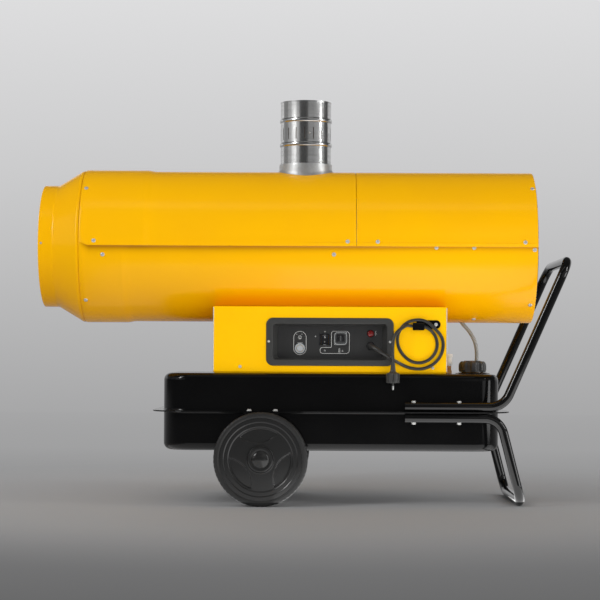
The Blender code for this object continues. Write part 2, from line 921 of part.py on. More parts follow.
def make_flue(galvanised, stainless, parent):
    """Spigot on the drum, collar on the casing, and the stack pipe."""
    centre = (flue_x, 0, 0)
    low = axis_height + exchanger_radius / 2
    spigot = add_object("flue_spigot",
                        tube_ring(spigot_inner, spigot_outer, low, spigot_top, middle_facets,
                                  "Z", centre), galvanised, parent=parent)
    reach = spigot_outer + cut_overrun
    cut(spigot, "drum_seat", disc(exchanger_radius + touching_gap, flue_x - reach, flue_x + reach,
                                  large_facets * 2, "X", (0, 0, axis_height)))
    collar_outer = flue_collar_inner + flue_collar_sheet
    collar_top = axis_height + cover_radius + flue_collar_height
    shoulder = axis_height + cover_radius + flue_collar_shoulder
    collar_low = axis_height + cover_radius - flue_collar_skirt
    profile = [
        (collar_low, flue_collar_inner),
        (collar_top, flue_collar_inner),
        (collar_top, collar_outer),
        (shoulder, collar_outer),
        (axis_height + cover_radius, collar_outer + flue_collar_flare),
        (collar_low, collar_outer + flue_collar_flare),
    ]
    collar = add_object("flue_collar", turned(profile, middle_facets, "Z", centre), galvanised,
                        parent=parent)
    reach = collar_outer + flue_collar_flare + cut_overrun
    cut(collar, "casing_seat", disc(cover_radius + touching_gap, flue_x - reach, flue_x + reach,
                                    large_facets * 2, "X", (0, 0, axis_height)))
    outer = [(flue_bottom, flue_radius)]
    for place in flue_bead_places:
        height = flue_bottom + place
        outer.append((height - flue_bead_width / 2, flue_radius))
        outer.append((height, flue_radius + flue_bead_rise))
        outer.append((height + flue_bead_width / 2, flue_radius))
    outer.append((flue_top, flue_radius))
    inner = [(height, radius - flue_sheet) for height, radius in outer[::-1]]
    add_object("flue_pipe", turned(outer + inner, middle_facets, "Z", centre), stainless,
               parent=parent)


def make_burner(steel, brass, parent):
    """Blast tube on the chamber's rear plate, with the nozzle carrier inside."""
    centre = (0, 0, axis_height)
    start, end = burner_tube_start, burner_tube_end
    inside = burner_tube_radius - burner_tube_sheet
    profile = [
        (start, inside),
        (start, burner_flange_radius),
        (start + burner_flange_plate, burner_flange_radius),
        (start + burner_flange_plate, burner_tube_radius),
        (end, burner_tube_radius),
        (end, inside),
    ]
    add_object("burner_tube", turned(profile, middle_facets, "X", centre), steel, parent=parent)
    disc_start = start + nozzle_disc_offset
    disc_end = disc_start + nozzle_disc_plate
    tip = disc_start - nozzle_tip_length
    profile = [
        (tip, 0),
        (tip, nozzle_tip_radius),
        (disc_start, nozzle_tip_radius),
        (disc_start, inside - touching_gap),
        (disc_end, inside - touching_gap),
        (disc_end, nozzle_rod_radius),
        (disc_end + nozzle_rod_length, nozzle_rod_radius),
        (disc_end + nozzle_rod_length, 0),
    ]
    add_object("burner_nozzle", turned(profile, middle_facets, "X", centre, closed=False), brass,
               parent=parent)


def make_motor(motor_paint, cast, steel, parent):
    """Fan motor in its spider bracket, with the fuel pump on its front."""
    centre = (0, 0, axis_height)
    bore = shaft_radius + running_gap
    bell = motor_bell_length
    boss = motor_boss_length
    profile = [
        (motor_front, bore),
        (motor_front, motor_bell_radius),
        (motor_front + bell, motor_bell_radius),
        (motor_front + bell, motor_radius),
        (motor_rear - bell, motor_radius),
        (motor_rear - bell, motor_bell_radius),
        (motor_rear - boss, motor_bell_radius),
        (motor_rear - boss, motor_boss_radius),
        (motor_rear, motor_boss_radius),
        (motor_rear, bore),
    ]
    add_object("fan_motor", turned(profile, middle_facets, "X", centre), motor_paint,
               parent=parent)
    arm_half = bracket_arm_width / 2
    seat = motor_radius + touching_gap
    ring = seat + bracket_ring_width
    room = flats_radius(barrel_bore, large_facets) - touching_gap
    reach = math.sqrt(room ** 2 - arm_half ** 2)
    root = math.sqrt(ring ** 2 - arm_half ** 2)
    outline = []
    for arm in range(bracket_arms):
        turn = Matrix.Rotation(full_turn * (arm + 0.5) / bracket_arms, 3, "X")
        for along, side in ((root, -arm_half), (reach, -arm_half), (reach, arm_half),
                            (root, arm_half)):
            outline.append(Vector((bracket_x, 0, axis_height)) + turn @ Vector((0, along, side)))
    plate = prism(outline, (bracket_plate, 0, 0))
    bracket = add_object("motor_bracket", plate, steel, parent=parent)
    cut(bracket, "motor_seat", disc(seat, bracket_x - cut_overrun,
                                    bracket_x + bracket_plate + cut_overrun, middle_facets, "X",
                                    centre))
    sleeve = tube_ring(seat, seat + bracket_plate, bracket_x, bracket_x + bracket_foot_length,
                       middle_facets, "X", centre)
    cut(bracket, "motor_sleeve", sleeve, "UNION")
    pump = add_object("fuel_pump",
                      block((pump_front, -pump_width / 2, axis_height - pump_height / 2),
                            (pump_rear, pump_width / 2, axis_height + pump_height / 2)),
                      cast, parent=parent, smooth=False)
    soften(pump, pump_edge)
    cut(pump, "pump_bore", disc(bore, pump_rear - pump_bore_depth, pump_rear + cut_overrun,
                                small_facets, "X", centre))


def blade_section(radius, chord, pitch):
    """One cambered blade section at a radius, as a closed ring of points."""
    upper, lower = [], []
    for step in range(blade_chords + 1):
        share = step / blade_chords
        along = (share - 0.5) * chord
        camber = fan_camber_share * chord * math.sin(half_turn * share)
        edge = fan_blade_plate / 2
        for side, strip in ((edge, upper), (-edge, lower)):
            axial = along * math.sin(pitch) + (camber + side) * math.cos(pitch)
            across = along * math.cos(pitch) - (camber + side) * math.sin(pitch)
            swing = across / radius
            strip.append(Vector((axial, radius * math.sin(swing), radius * math.cos(swing))))
    return upper + lower[::-1]


def make_fan(alloy, steel, parent):
    """Axial fan with twisted, cambered blades, and the shaft that carries it."""
    origin = (fan_x, 0, axis_height)
    half = fan_hub_length / 2
    bore = shaft_radius + touching_gap
    web = half - fan_hub_wall
    profile = [
        (-half, fan_hub_radius),
        (half - fan_hub_wall, fan_hub_radius),
        (half, fan_hub_radius - fan_hub_wall),
        (half, bore),
        (-half, bore),
        (-half, fan_boss_radius),
        (web, fan_boss_radius),
        (web, fan_hub_radius - fan_hub_wall),
        (-half, fan_hub_radius - fan_hub_wall),
    ]
    hub = add_object("fan_rotor", turned(profile, middle_facets, "X"), alloy, origin, parent)
    blades = []
    root = fan_hub_radius - fan_root_sink
    for number in range(fan_blades):
        sections = []
        for span in range(blade_spans + 1):
            share = span / blade_spans
            radius = root + (fan_radius - root) * share
            chord = fan_root_chord + (fan_tip_chord - fan_root_chord) * share
            pitch = fan_root_pitch + (fan_tip_pitch - fan_root_pitch) * share
            sections.append(blade_section(radius, chord, pitch))
        blade = loft(sections)
        bmesh.ops.rotate(blade, verts=blade.verts, cent=(0, 0, 0),
                         matrix=Matrix.Rotation(full_turn * number / fan_blades, 3, "X"))
        bmesh.ops.recalc_face_normals(blade, faces=blade.faces)
        blades.append(blade)
    cut(hub, "fan_blades", merged(*blades), "UNION")
    add_object("motor_shaft", disc(shaft_radius, shaft_front - fan_x, shaft_rear - fan_x,
                                   small_facets, "X"), steel, origin, parent)


def make_guard(wire_black, parent):
    """Rear inlet guard: round wires welded on spokes, in the casing's end."""
    centre = (0, 0, axis_height)
    rim = barrel_bore - touching_gap - guard_rim_wire / 2
    middle = barrel_rear + guard_overhang - guard_rim_wire / 2
    rings = []
    for number, facets in enumerate(guard_ring_facets):
        share = number / len(guard_ring_facets)
        radius = guard_first_ring + (rim - guard_first_ring) * share
        half = guard_wire / 2
        profile = [(middle - half, radius), (middle, radius + half), (middle + half, radius),
                   (middle, radius - half)]
        rings.append(turned(profile, facets, "X", centre))
    half = guard_rim_wire / 2
    profile = [(middle - half, rim), (middle, rim + half), (middle + half, rim),
               (middle, rim - half)]
    rings.append(turned(profile, large_facets, "X", centre))
    for ring in rings:
        bmesh.ops.recalc_face_normals(ring, faces=ring.faces)
    outline = []
    reach = rim
    bar = guard_wire / 2
    root = bar / math.tan(half_turn / guard_spokes)
    for spoke in range(guard_spokes):
        turn = Matrix.Rotation(full_turn * spoke / guard_spokes, 3, "X")
        for along, side in ((root, -bar), (reach, -bar), (reach, bar)):
            outline.append(Vector(centre) + turn @ Vector((middle - bar, along, side)))
    spokes = prism(outline, (guard_wire, 0, 0))
    guard = add_object("inlet_guard", spokes, wire_black, parent=parent)
    cut(guard, "guard_rings", merged(*rings), "UNION")


def barrel_half_width(height, radius):
    """Half the barrel's width at a height below its axis."""
    return math.sqrt(radius ** 2 - (axis_height - height) ** 2)


def box_cover(name, side, paint, parent):
    """One long cover of the box: a channel whose top return meets the barrel."""
    lip = barrel_half_width(box_top, cover_radius) + 2 * touching_gap
    face = box_front_y
    sheet = box_sheet
    section = [
        (face - box_return, box_bottom),
        (face, box_bottom),
        (face, box_top),
        (lip, box_top),
        (lip, box_top - sheet),
        (face - sheet, box_top - sheet),
        (face - sheet, box_bottom + sheet),
        (face - box_return, box_bottom + sheet),
    ]
    outline = [(box_left, side * y, z) for y, z in section]
    return add_object(name, prism(outline, (box_right - box_left, 0, 0)), paint, parent=parent,
                      smooth=False)


def box_end(name, x, thickness, paint, parent):
    """End plate of the box, its top edge a saddle for the barrel."""
    saddle = barrel_radius + touching_gap
    inside = box_front_y - box_sheet - touching_gap
    top = box_top - box_sheet - touching_gap
    bottom = box_bottom + box_sheet + touching_gap
    edge = barrel_half_width(top, saddle)
    half_angle = math.asin(edge / saddle)
    outline = [(x, -inside, bottom), (x, inside, bottom), (x, inside, top)]
    arc = faceted_arc(saddle, large_facets, -quarter_turn - half_angle, -quarter_turn + half_angle)
    for angle, reach in arc[::-1]:
        height = min(axis_height + reach * math.sin(angle), top)
        outline.append((x, reach * math.cos(angle), height))
    outline.append((x, -inside, top))
    return add_object(name, prism(outline, (thickness, 0, 0)), paint, parent=parent, smooth=False)


def make_box(paint, parent):
    """Box between tank and barrel: base, two covers and two saddle ends."""
    inset = box_base_inset
    base = block((box_left + inset, -box_front_y + inset, box_base_bottom),
                 (box_right - inset, box_front_y - inset, box_base_top))
    add_object("box_base", base, paint, parent=parent, smooth=False)
    front = box_cover("box_front", -1, paint, parent)
    tub = panel_wall + touching_gap
    aperture = rounded_outline(panel_open_width / 2 + tub, panel_open_height / 2 + tub,
                               panel_open_corner + tub, corner_steps)
    outline = [(panel_x + u, -box_front_y - cut_overrun, panel_z + v) for u, v in aperture]
    cut(front, "panel_aperture", prism(outline, (0, cut_overrun + box_return, 0)))
    rear = box_cover("box_rear", 1, paint, parent)
    middle_x = (box_left + box_right) / 2
    middle_z = (box_bottom + box_top) / 2
    slots = []
    for number in range(louvre_count):
        x = middle_x + louvre_pitch * (number - (louvre_count - 1) / 2)
        slots.append(block((x - louvre_width / 2, box_front_y - cut_overrun,
                            middle_z - louvre_height / 2),
                           (x + louvre_width / 2, box_front_y + cut_overrun,
                            middle_z + louvre_height / 2)))
    for slot in slots:
        bmesh.ops.recalc_face_normals(slot, faces=slot.faces)
    cut(rear, "louvres", merged(*slots))
    box_end("box_end_left", box_left + touching_gap, box_sheet, paint, parent)
    box_end("box_end_right", box_right - touching_gap - box_sheet, box_sheet, paint, parent)


def on_panel(place):
    """World X and Z of a place given from the panel's middle."""
    return panel_x + place[0], panel_z + place[1]


def upright_ring(half_width, half_height, corner, y, x=0, z=0, steps=corner_steps):
    """A rounded rectangle standing across Y at a depth."""
    outline = rounded_outline(half_width, half_height, corner, steps)
    return [(x + u, y, z + v) for u, v in outline]


def make_panel(plastic, parent):
    """Moulded control panel: a rounded bezel round a recessed floor."""
    wall = panel_wall
    back = -box_front_y - touching_gap
    edge = panel_edge_radius
    half_w, half_h = panel_width / 2, panel_height / 2
    open_w, open_h = panel_open_width / 2, panel_open_height / 2
    floor_w, floor_h = panel_floor_width / 2, panel_floor_height / 2

    def ring(width, height, corner, y):
        return upright_ring(width, height, corner, y, panel_x, panel_z)

    rings = [
        ring(floor_w, floor_h, panel_floor_corner, panel_floor_y),
        ring(open_w, open_h, panel_open_corner, panel_front + edge),
        ring(open_w + edge, open_h + edge, panel_open_corner + edge, panel_front),
        ring(half_w - edge, half_h - edge, panel_corner - edge, panel_front),
        ring(half_w, half_h, panel_corner, panel_front + edge),
        ring(half_w, half_h, panel_corner, back),
        ring(open_w + wall, open_h + wall, panel_open_corner + wall, back),
        ring(open_w + wall, open_h + wall, panel_open_corner + wall, -box_front_y + wall),
        ring(floor_w + wall, floor_h + wall, panel_floor_corner + wall, panel_floor_y + wall),
    ]
    panel = add_object("control_panel", loft(rings), plastic, parent=parent)
    low, high = panel_floor_y - cut_overrun / 2, panel_floor_y + wall + cut_overrun / 2
    cutters = []
    for place, radius in ((reset_place, reset_shank_radius), (lamp_place, lamp_shank_radius),
                          (gland_place, gland_shank_radius)):
        x, z = on_panel(place)
        cutters.append(disc(radius + touching_gap, low, high, small_facets, "Y", (x, 0, z)))
    switch_x, switch_z = on_panel(switch_place)
    socket_x, socket_z = on_panel(socket_place)
    body_w = switch_frame_width / 2 - switch_wall + touching_gap
    body_h = switch_frame_height / 2 - switch_wall + touching_gap
    cutters.append(block((switch_x - body_w, low, switch_z - body_h),
                         (switch_x + body_w, high, switch_z + body_h)))
    body = socket_body_size / 2 + touching_gap
    cutters.append(loft([upright_ring(body, body, socket_body_corner, y, socket_x, socket_z, 2)
                         for y in (low, high)]))
    for cutter in cutters:
        bmesh.ops.recalc_face_normals(cutter, faces=cutter.faces)
    cut(panel, "panel_holes", merged(*cutters))


def make_reset(clear, cap_plastic, chassis):
    """Reset push button in its collar; the button's origin is on its stroke."""
    reset_x, reset_z = on_panel(reset_place)
    origin = (reset_x, panel_floor_y, reset_z)
    proud = reset_bezel_proud
    seat = -touching_gap
    profile = [
        (seat, reset_bezel_radius),
        (-proud + reset_chamfer, reset_bezel_radius),
        (-proud, reset_bezel_radius - reset_chamfer),
        (-proud, reset_bore_radius),
        (reset_shank_length, reset_bore_radius),
        (reset_shank_length, reset_shank_radius),
        (seat, reset_shank_radius),
    ]
    add_object("reset_collar", turned(profile, small_facets + 4, "Y"), clear, origin,
               chassis)
    radius = reset_bore_radius - running_gap
    front = -reset_button_proud
    profile = [
        (front, 0),
        (front + reset_dome_edge, radius - reset_chamfer),
        (front + reset_dome, radius),
        (front + reset_button_length, radius),
        (front + reset_button_length, 0),
    ]
    add_object("reset_button", turned(profile, small_facets, "Y", closed=False), cap_plastic,
               origin, chassis)


def make_switch(plastic, rocker_plastic, chassis):
    """Rocker switch: a frame with a snap-in body, and the rocker on its pivot."""
    half_w, half_h = switch_frame_width / 2, switch_frame_height / 2
    wall = switch_wall
    bore_w, bore_h = half_w - 2 * wall, rocker_radius + 2 * touching_gap
    corner = wall
    front = -touching_gap - switch_frame_proud
    depth = switch_body_depth
    switch_x, switch_z = on_panel(switch_place)
    origin = (switch_x, panel_floor_y, switch_z)
    small = wall / 4
    rings = [
        upright_ring(bore_w, bore_h, small, depth - wall, steps=1),
        upright_ring(bore_w, bore_h, small, front, steps=1),
        upright_ring(half_w - corner / 2, half_h - corner / 2, corner, front, steps=1),
        upright_ring(half_w, half_h, corner, front + corner / 2, steps=1),
        upright_ring(half_w, half_h, corner, -touching_gap, steps=1),
        upright_ring(half_w - wall, half_h - wall, small, -touching_gap, steps=1),
        upright_ring(half_w - wall, half_h - wall, small, depth, steps=1),
    ]
    add_object("switch_frame", loft(rings), plastic, origin, chassis, smooth=False)
    outline = []
    rise = rocker_front_rise
    reach = math.sqrt(rocker_radius ** 2 - rise ** 2)
    top_angle = math.atan2(reach, rise)
    back_angle = half_turn - math.acos(rocker_back / rocker_radius)
    for side in (1, -1):
        arc = []
        for step in range(rocker_arc_steps + 1):
            angle = top_angle + (back_angle - top_angle) * step / rocker_arc_steps
            arc.append((-rocker_radius * math.cos(angle), side * rocker_radius * math.sin(angle)))
        outline += arc if side == 1 else arc[::-1]
    outline.append((-rocker_front_dip, 0))
    width = bore_w - running_gap
    points = [(-width, y, z) for y, z in outline]
    pivot = (switch_x, panel_floor_y + rocker_depth, switch_z)
    rocker = add_object("switch_rocker", prism(points, (2 * width, 0, 0)), rocker_plastic, pivot,
                        chassis, smooth=False)
    rocker.rotation_euler.x = -rocker_tilt


def make_socket(clear, plastic, chassis):
    """Thermostat socket with its flange, and the bridging plug that pulls out."""
    socket_x, socket_z = on_panel(socket_place)
    origin = (socket_x, panel_floor_y, socket_z)
    flange, body = socket_flange_size / 2, socket_body_size / 2
    bore = socket_bore_size / 2
    corner, small = socket_flange_corner, socket_body_corner
    proud = socket_flange_proud
    rings = [
        upright_ring(bore, bore, small, socket_depth - panel_wall, steps=2),
        upright_ring(bore, bore, small, -proud, steps=2),
        upright_ring(flange - panel_wall, flange - panel_wall, corner - panel_wall, -proud, steps=2),
        upright_ring(flange, flange, corner, -proud + panel_wall, steps=2),
        upright_ring(flange, flange, corner, -touching_gap, steps=2),
        upright_ring(body, body, small, -touching_gap, steps=2),
        upright_ring(body, body, small, socket_depth, steps=2),
    ]
    add_object("thermostat_socket", loft(rings), clear, origin, chassis, smooth=False)
    head = socket_plug_size / 2
    neck = bore - touching_gap
    seat = -proud - touching_gap
    front = seat - socket_plug_proud + socket_plug_neck
    edge = socket_plug_corner / 2
    rings = [
        upright_ring(head - edge, head - edge, edge, front, steps=2),
        upright_ring(head, head, socket_plug_corner, front + edge, steps=2),
        upright_ring(head, head, socket_plug_corner, seat, steps=2),
        upright_ring(neck, neck, small, seat, steps=2),
        upright_ring(neck, neck, small, seat + socket_plug_neck, steps=2),
    ]
    add_object("thermostat_plug", loft(rings), plastic, origin, chassis, smooth=False)


def make_lamp_and_gland(red, plastic, parent):
    """Red warning lamp and the mains cord's gland on the panel floor."""
    lamp_x, lamp_z = on_panel(lamp_place)
    origin = (lamp_x, panel_floor_y, lamp_z)
    seat = -touching_gap
    profile = [
        *[(-lamp_rim_height - (lamp_proud - lamp_rim_height) * rise, lamp_radius * reach)
          for rise, reach in lamp_dome_shares],
        (-lamp_rim_height, lamp_rim_radius),
        (seat, lamp_rim_radius),
        (seat, lamp_shank_radius),
        (lamp_shank_length, lamp_shank_radius),
        (lamp_shank_length, 0),
    ]
    add_object("warning_lamp", turned(profile, small_facets, "Y", closed=False), red, origin,
               parent)
    gland_x, gland_z = on_panel(gland_place)
    origin = (gland_x, panel_floor_y, gland_z)
    nose = -gland_nut_height - gland_nose_length
    bore = cord_radius + touching_gap
    profile = [
        (seat, gland_nut_radius),
        (-gland_nut_height, gland_nut_radius),
        (-gland_nut_height, gland_nose_radius),
        (nose, (gland_nose_radius + bore) / 2),
        (nose, bore),
        (gland_shank_length - panel_wall, bore),
        (gland_shank_length - panel_wall, bore / 2),
        (gland_shank_length, bore / 2),
        (gland_shank_length, gland_shank_radius),
        (seat, gland_shank_radius),
    ]
    add_object("cable_gland", turned(profile, small_facets, "Y"), plastic, origin, parent)


def coil_point(angle):
    """A place on the hung loops: they draw in, and step out over the strap."""
    share = min(max((angle - coil_narrow_from) / (coil_narrow_to - coil_narrow_from), 0), 1)
    share = share * share * (3 - 2 * share)
    radius = coil_start_radius + (coil_end_radius - coil_start_radius) * share
    radius -= coil_dent * math.exp(-((angle - coil_dent_angle) / coil_dent_spread) ** 2)
    on_box = -box_front_y - cord_box_gap - cord_radius
    on_strap = on_box - strap_plate
    depths = (
        (-100, on_box), (15, on_box), (35, on_strap), (105, on_strap), (130, on_box),
        (395, on_box), (412, on_strap - cord_gap), (460, on_strap - cord_gap),
    )
    degrees = math.degrees(angle)
    depth = on_box
    for (low, first), (high, second) in zip(depths, depths[1:]):
        if low <= degrees <= high:
            between = (degrees - low) / (high - low)
            between = between * between * (3 - 2 * between)
            depth = first + (second - first) * between
            break
    return Vector((coil_x + radius * math.cos(angle), depth, coil_z + radius * math.sin(angle)))


def least_gap(points, radius, skip):
    """The smallest clear space between stretches of a tube that lie apart along it."""
    least = math.inf
    for place, first in enumerate(points):
        for other in range(place + skip, len(points) - 1):
            start, end = points[other], points[other + 1]
            line = end - start
            share = min(max((first - start).dot(line) / line.length_squared, 0), 1)
            least = min(least, (first - (start + line * share)).length)
    return least - 2 * radius


def make_cord(rubber, parent):
    """Mains cord: from the gland to the hung loops, the loops, and down to the plug."""
    turn_share = (coil_end_angle - coil_start_angle) / full_turn
    count = round(coil_points_per_turn * turn_share)
    coil = []
    for step in range(count + 1):
        angle = coil_start_angle + (coil_end_angle - coil_start_angle) * step / count
        coil.append(coil_point(angle))
    print("coil least gap to itself, mm:", round(least_gap(coil, cord_radius, 6) * 1000, 2))
    cord_curve("cord_coil", coil, cord_radius, 1, rubber, parent)
    exit_y = panel_floor_y - gland_nut_height - gland_nose_length - touching_gap
    gland_x, gland_z = on_panel(gland_place)
    start_way = (coil[1] - coil[0]).normalized()
    end_way = (coil[-1] - coil[-2]).normalized()
    join = coil[0] - start_way * touching_gap
    lead = [(gland_x, exit_y, gland_z), (gland_x, exit_y - cord_straight, gland_z)]
    lead += [(gland_x + along, -box_front_y - out, gland_z + rise)
             for along, out, rise in lead_route]
    lead += [tuple(join - start_way * cord_join_straight), tuple(join)]
    cord_curve("cord_lead", smooth_route(lead, cord_spacing), cord_radius, 2, rubber, parent)
    join = coil[-1] + end_way * touching_gap
    plug_top = plug_face_z + plug_body_length + plug_taper_length + touching_gap
    tail = [tuple(join), tuple(join + end_way * cord_join_straight)]
    tail += [(coil_x + along, -box_front_y - out, coil_z + rise)
             for along, out, rise in tail_route]
    tail += [(plug_x, plug_y, plug_top + cord_straight), (plug_x, plug_y, plug_top)]
    cord_curve("cord_tail", smooth_route(tail, cord_spacing), cord_radius, 2, rubber, parent)


def make_plug(rubber, parent):
    """Mains plug hanging face down: a fluted grip, a taper and two pins."""
    origin = (plug_x, plug_y, plug_face_z)
    sides = plug_grips * 2
    levels = (
        (0, plug_body_radius, 0),
        (plug_grip_start, plug_body_radius, plug_grip_depth),
        (plug_body_length - plug_grip_start, plug_body_radius, plug_grip_depth),
        (plug_body_length, plug_shoulder_radius, 0),
        (plug_body_length + plug_taper_length, plug_neck_radius, 0),
    )
    rings = []
    for height, radius, groove in levels:
        ring = []
        for side in range(sides):
            angle = full_turn * side / sides
            reach = radius - groove * (side % 2)
            ring.append((reach * math.cos(angle), reach * math.sin(angle), height))
        rings.append(ring)
    body = add_object("mains_plug", loft(rings), rubber, origin, parent)
    pins = []
    for side in (-1, 1):
        pin = disc(plug_pin_radius, -plug_pin_length, plug_body_length / 3, pin_facets, "Z",
                   (0, side * plug_pin_spacing / 2, 0))
        bmesh.ops.recalc_face_normals(pin, faces=pin.faces)
        pins.append(pin)
    cut(body, "plug_pins", merged(*pins), "UNION")


def make_strap(rubber, parent):
    """Cord holder on the box: a flat tongue with a round end and an open clip."""
    back = -box_front_y - touching_gap
    half = strap_width / 2
    outline = [(strap_x - strap_length, back, strap_z + half)]
    outline.append((strap_x - strap_length, back, strap_z - half))
    for step in range(strap_end_steps + 1):
        angle = -quarter_turn + half_turn * step / strap_end_steps
        outline.append((strap_x + half * math.cos(angle), back, strap_z + half * math.sin(angle)))
    strap = add_object("cord_strap", prism(outline, (0, -strap_plate, 0)), rubber, parent=parent,
                       smooth=False)
    inner = back - strap_plate
    outer = inner - clip_room - clip_wall
    clip_top = clip_bottom + clip_height
    section = [
        (back - strap_plate / 2, clip_top),
        (outer, clip_top),
        (outer, clip_bottom),
        (outer + clip_wall, clip_bottom),
        (outer + clip_wall, clip_top - clip_wall),
        (back - strap_plate / 2, clip_top - clip_wall),
    ]
    clip = prism([(clip_right - clip_width, y, z) for y, z in section], (clip_width, 0, 0))
    cut(strap, "clip_hook", clip, "UNION")


def tank_ring(inset, corner, height):
    """The tank's plan outline at a height, drawn in or out by an inset."""
    middle = (tank_left + tank_right) / 2
    half_length = (tank_right - tank_left) / 2 - inset
    outline = rounded_outline(half_length, tank_half_width - inset, corner, corner_steps)
    return [(middle + u, v, height) for u, v in outline]


def tank_pan(name, side, end, paint, parent):
    """One pressed half of the tank, with a rounded end edge and an outer flange."""
    sheet = tank_sheet
    meet = flange_height + side * touching_gap / 2
    rings = []
    for step in range(edge_arc_steps + 1):
        angle = quarter_turn * (1 - step / edge_arc_steps)
        radius = tank_edge_radius - sheet
        inset = sheet + radius * (1 - math.cos(angle))
        height = end - side * (sheet + radius * (1 - math.sin(angle)))
        rings.append(tank_ring(inset, tank_corner - inset, height))
    rings.append(tank_ring(sheet, tank_corner - sheet, meet))
    rings.append(tank_ring(-flange_overhang, tank_corner + flange_overhang, meet))
    rings.append(tank_ring(-flange_overhang, tank_corner + flange_overhang, meet + side * sheet))
    rings.append(tank_ring(0, tank_corner, meet + side * sheet))
    for step in range(edge_arc_steps + 1):
        angle = quarter_turn * step / edge_arc_steps
        inset = tank_edge_radius * (1 - math.cos(angle))
        height = end - side * tank_edge_radius * (1 - math.sin(angle))
        rings.append(tank_ring(inset, tank_corner - inset, height))
    return add_object(name, loft(rings), paint, parent=parent)


def make_tank(paint, parent):
    """Fuel tank of two pressed halves that meet at their flanges."""
    upper = tank_pan("tank_upper", 1, tank_top, paint, parent)
    low, high = tank_top - cut_overrun, tank_top + cut_overrun
    boss = disc(boss_radius, tank_top - tank_sheet / 2, tank_top + boss_height, small_facets, "Z",
                (hose_tank_x, 0, 0))
    cut(upper, "hose_boss", boss, "UNION")
    holes = [
        disc(neck_radius + touching_gap, low, high, middle_facets, "Z", (filler_x, filler_y, 0)),
        disc(hose_radius + touching_gap, low, high, hose_sides, "Z", (hose_tank_x, 0, 0)),
        disc(fitting_radius + touching_gap, low, high, small_facets, "Z", (filter_x, filter_y, 0)),
    ]
    for hole in holes:
        bmesh.ops.recalc_face_normals(hole, faces=hole.faces)
    cut(upper, "tank_holes", merged(*holes))
    tank_pan("tank_lower", -1, tank_bottom, paint, parent)


def make_filler(paint, mesh_metal, core_plastic, cap_plastic, chassis):
    """Filler neck, strainer, and the cap in two pieces: inner plug and outer grip."""
    place = (filler_x, filler_y, 0)
    seat = tank_top + touching_gap
    inside = neck_radius - neck_wall
    profile = [
        (tank_top - tank_sheet * 2, inside),
        (neck_top, inside),
        (neck_top, neck_radius),
        (seat + neck_flange_plate, neck_radius),
        (seat + neck_flange_plate / 2, neck_flange_radius),
        (seat, neck_flange_radius),
        (seat, neck_radius),
        (tank_top - tank_sheet * 2, neck_radius),
    ]
    add_object("filler_neck", turned(profile, middle_facets, "Z", place), paint,
               parent=chassis)
    rim_low = neck_top + touching_gap
    rim_high = rim_low + strainer_rim_plate
    bottom = neck_top - strainer_depth
    bowl = strainer_radius - strainer_wall
    profile = [
        (bottom, 0),
        (bottom, strainer_radius),
        (rim_low, strainer_radius),
        (rim_low, neck_radius - neck_wall / 4),
        (rim_high, neck_radius - neck_wall / 4),
        (rim_high, bowl),
        (bottom + strainer_wall, bowl),
        (bottom + strainer_wall, 0),
    ]
    add_object("filler_strainer", turned(profile, small_facets + 4, "Z", place, closed=False),
               mesh_metal, parent=chassis)
    disc_low = rim_high + touching_gap
    disc_high = disc_low + cap_core_plate
    profile = [
        (disc_low - cap_plug_length, 0),
        (disc_low - cap_plug_length, cap_plug_radius),
        (disc_low, cap_plug_radius),
        (disc_low, cap_core_radius),
        (disc_high, cap_core_radius),
        (disc_high, cap_stem_radius),
        (disc_high + cap_stem_length, cap_stem_radius),
        (disc_high + cap_stem_length, 0),
    ]
    origin = (filler_x, filler_y, 0)
    add_object("filler_cap_core", turned(profile, small_facets + 4, "Z", closed=False),
               core_plastic, origin, chassis)
    foot = disc_high + touching_gap - (cap_height - cap_roof)
    room = disc_high + touching_gap
    top = foot + cap_height
    count = cap_lobes * cap_points_per_lobe
    inner = cap_core_radius + cap_side_gap

    def ring(height, radius, rise):
        points = []
        for number in range(count):
            angle = full_turn * number / count
            reach = radius + rise * math.cos(cap_lobes * angle)
            points.append((reach * math.cos(angle), reach * math.sin(angle), height))
        return points

    lobe = cap_lobe_rise
    stem = cap_stem_radius + touching_gap
    stem_top = room + cap_stem_length
    neck_room = neck_radius + running_gap
    rings = [
        ring(stem_top, stem, 0),
        ring(room, stem, 0),
        ring(room, max(inner, neck_room), 0),
        ring(foot, max(inner, neck_room), 0),
        ring(foot, cap_foot_radius, 0),
        ring(foot + cap_height * cap_skirt_share, cap_radius - lobe, lobe),
        ring(foot + cap_height * cap_grip_share, cap_radius - lobe, lobe),
        ring(foot + cap_height * cap_crown_share, cap_top_radius + lobe, lobe),
        ring(top, cap_top_radius - lobe, 0),
    ]
    add_object("filler_cap", loft(rings), cap_plastic, origin, chassis)


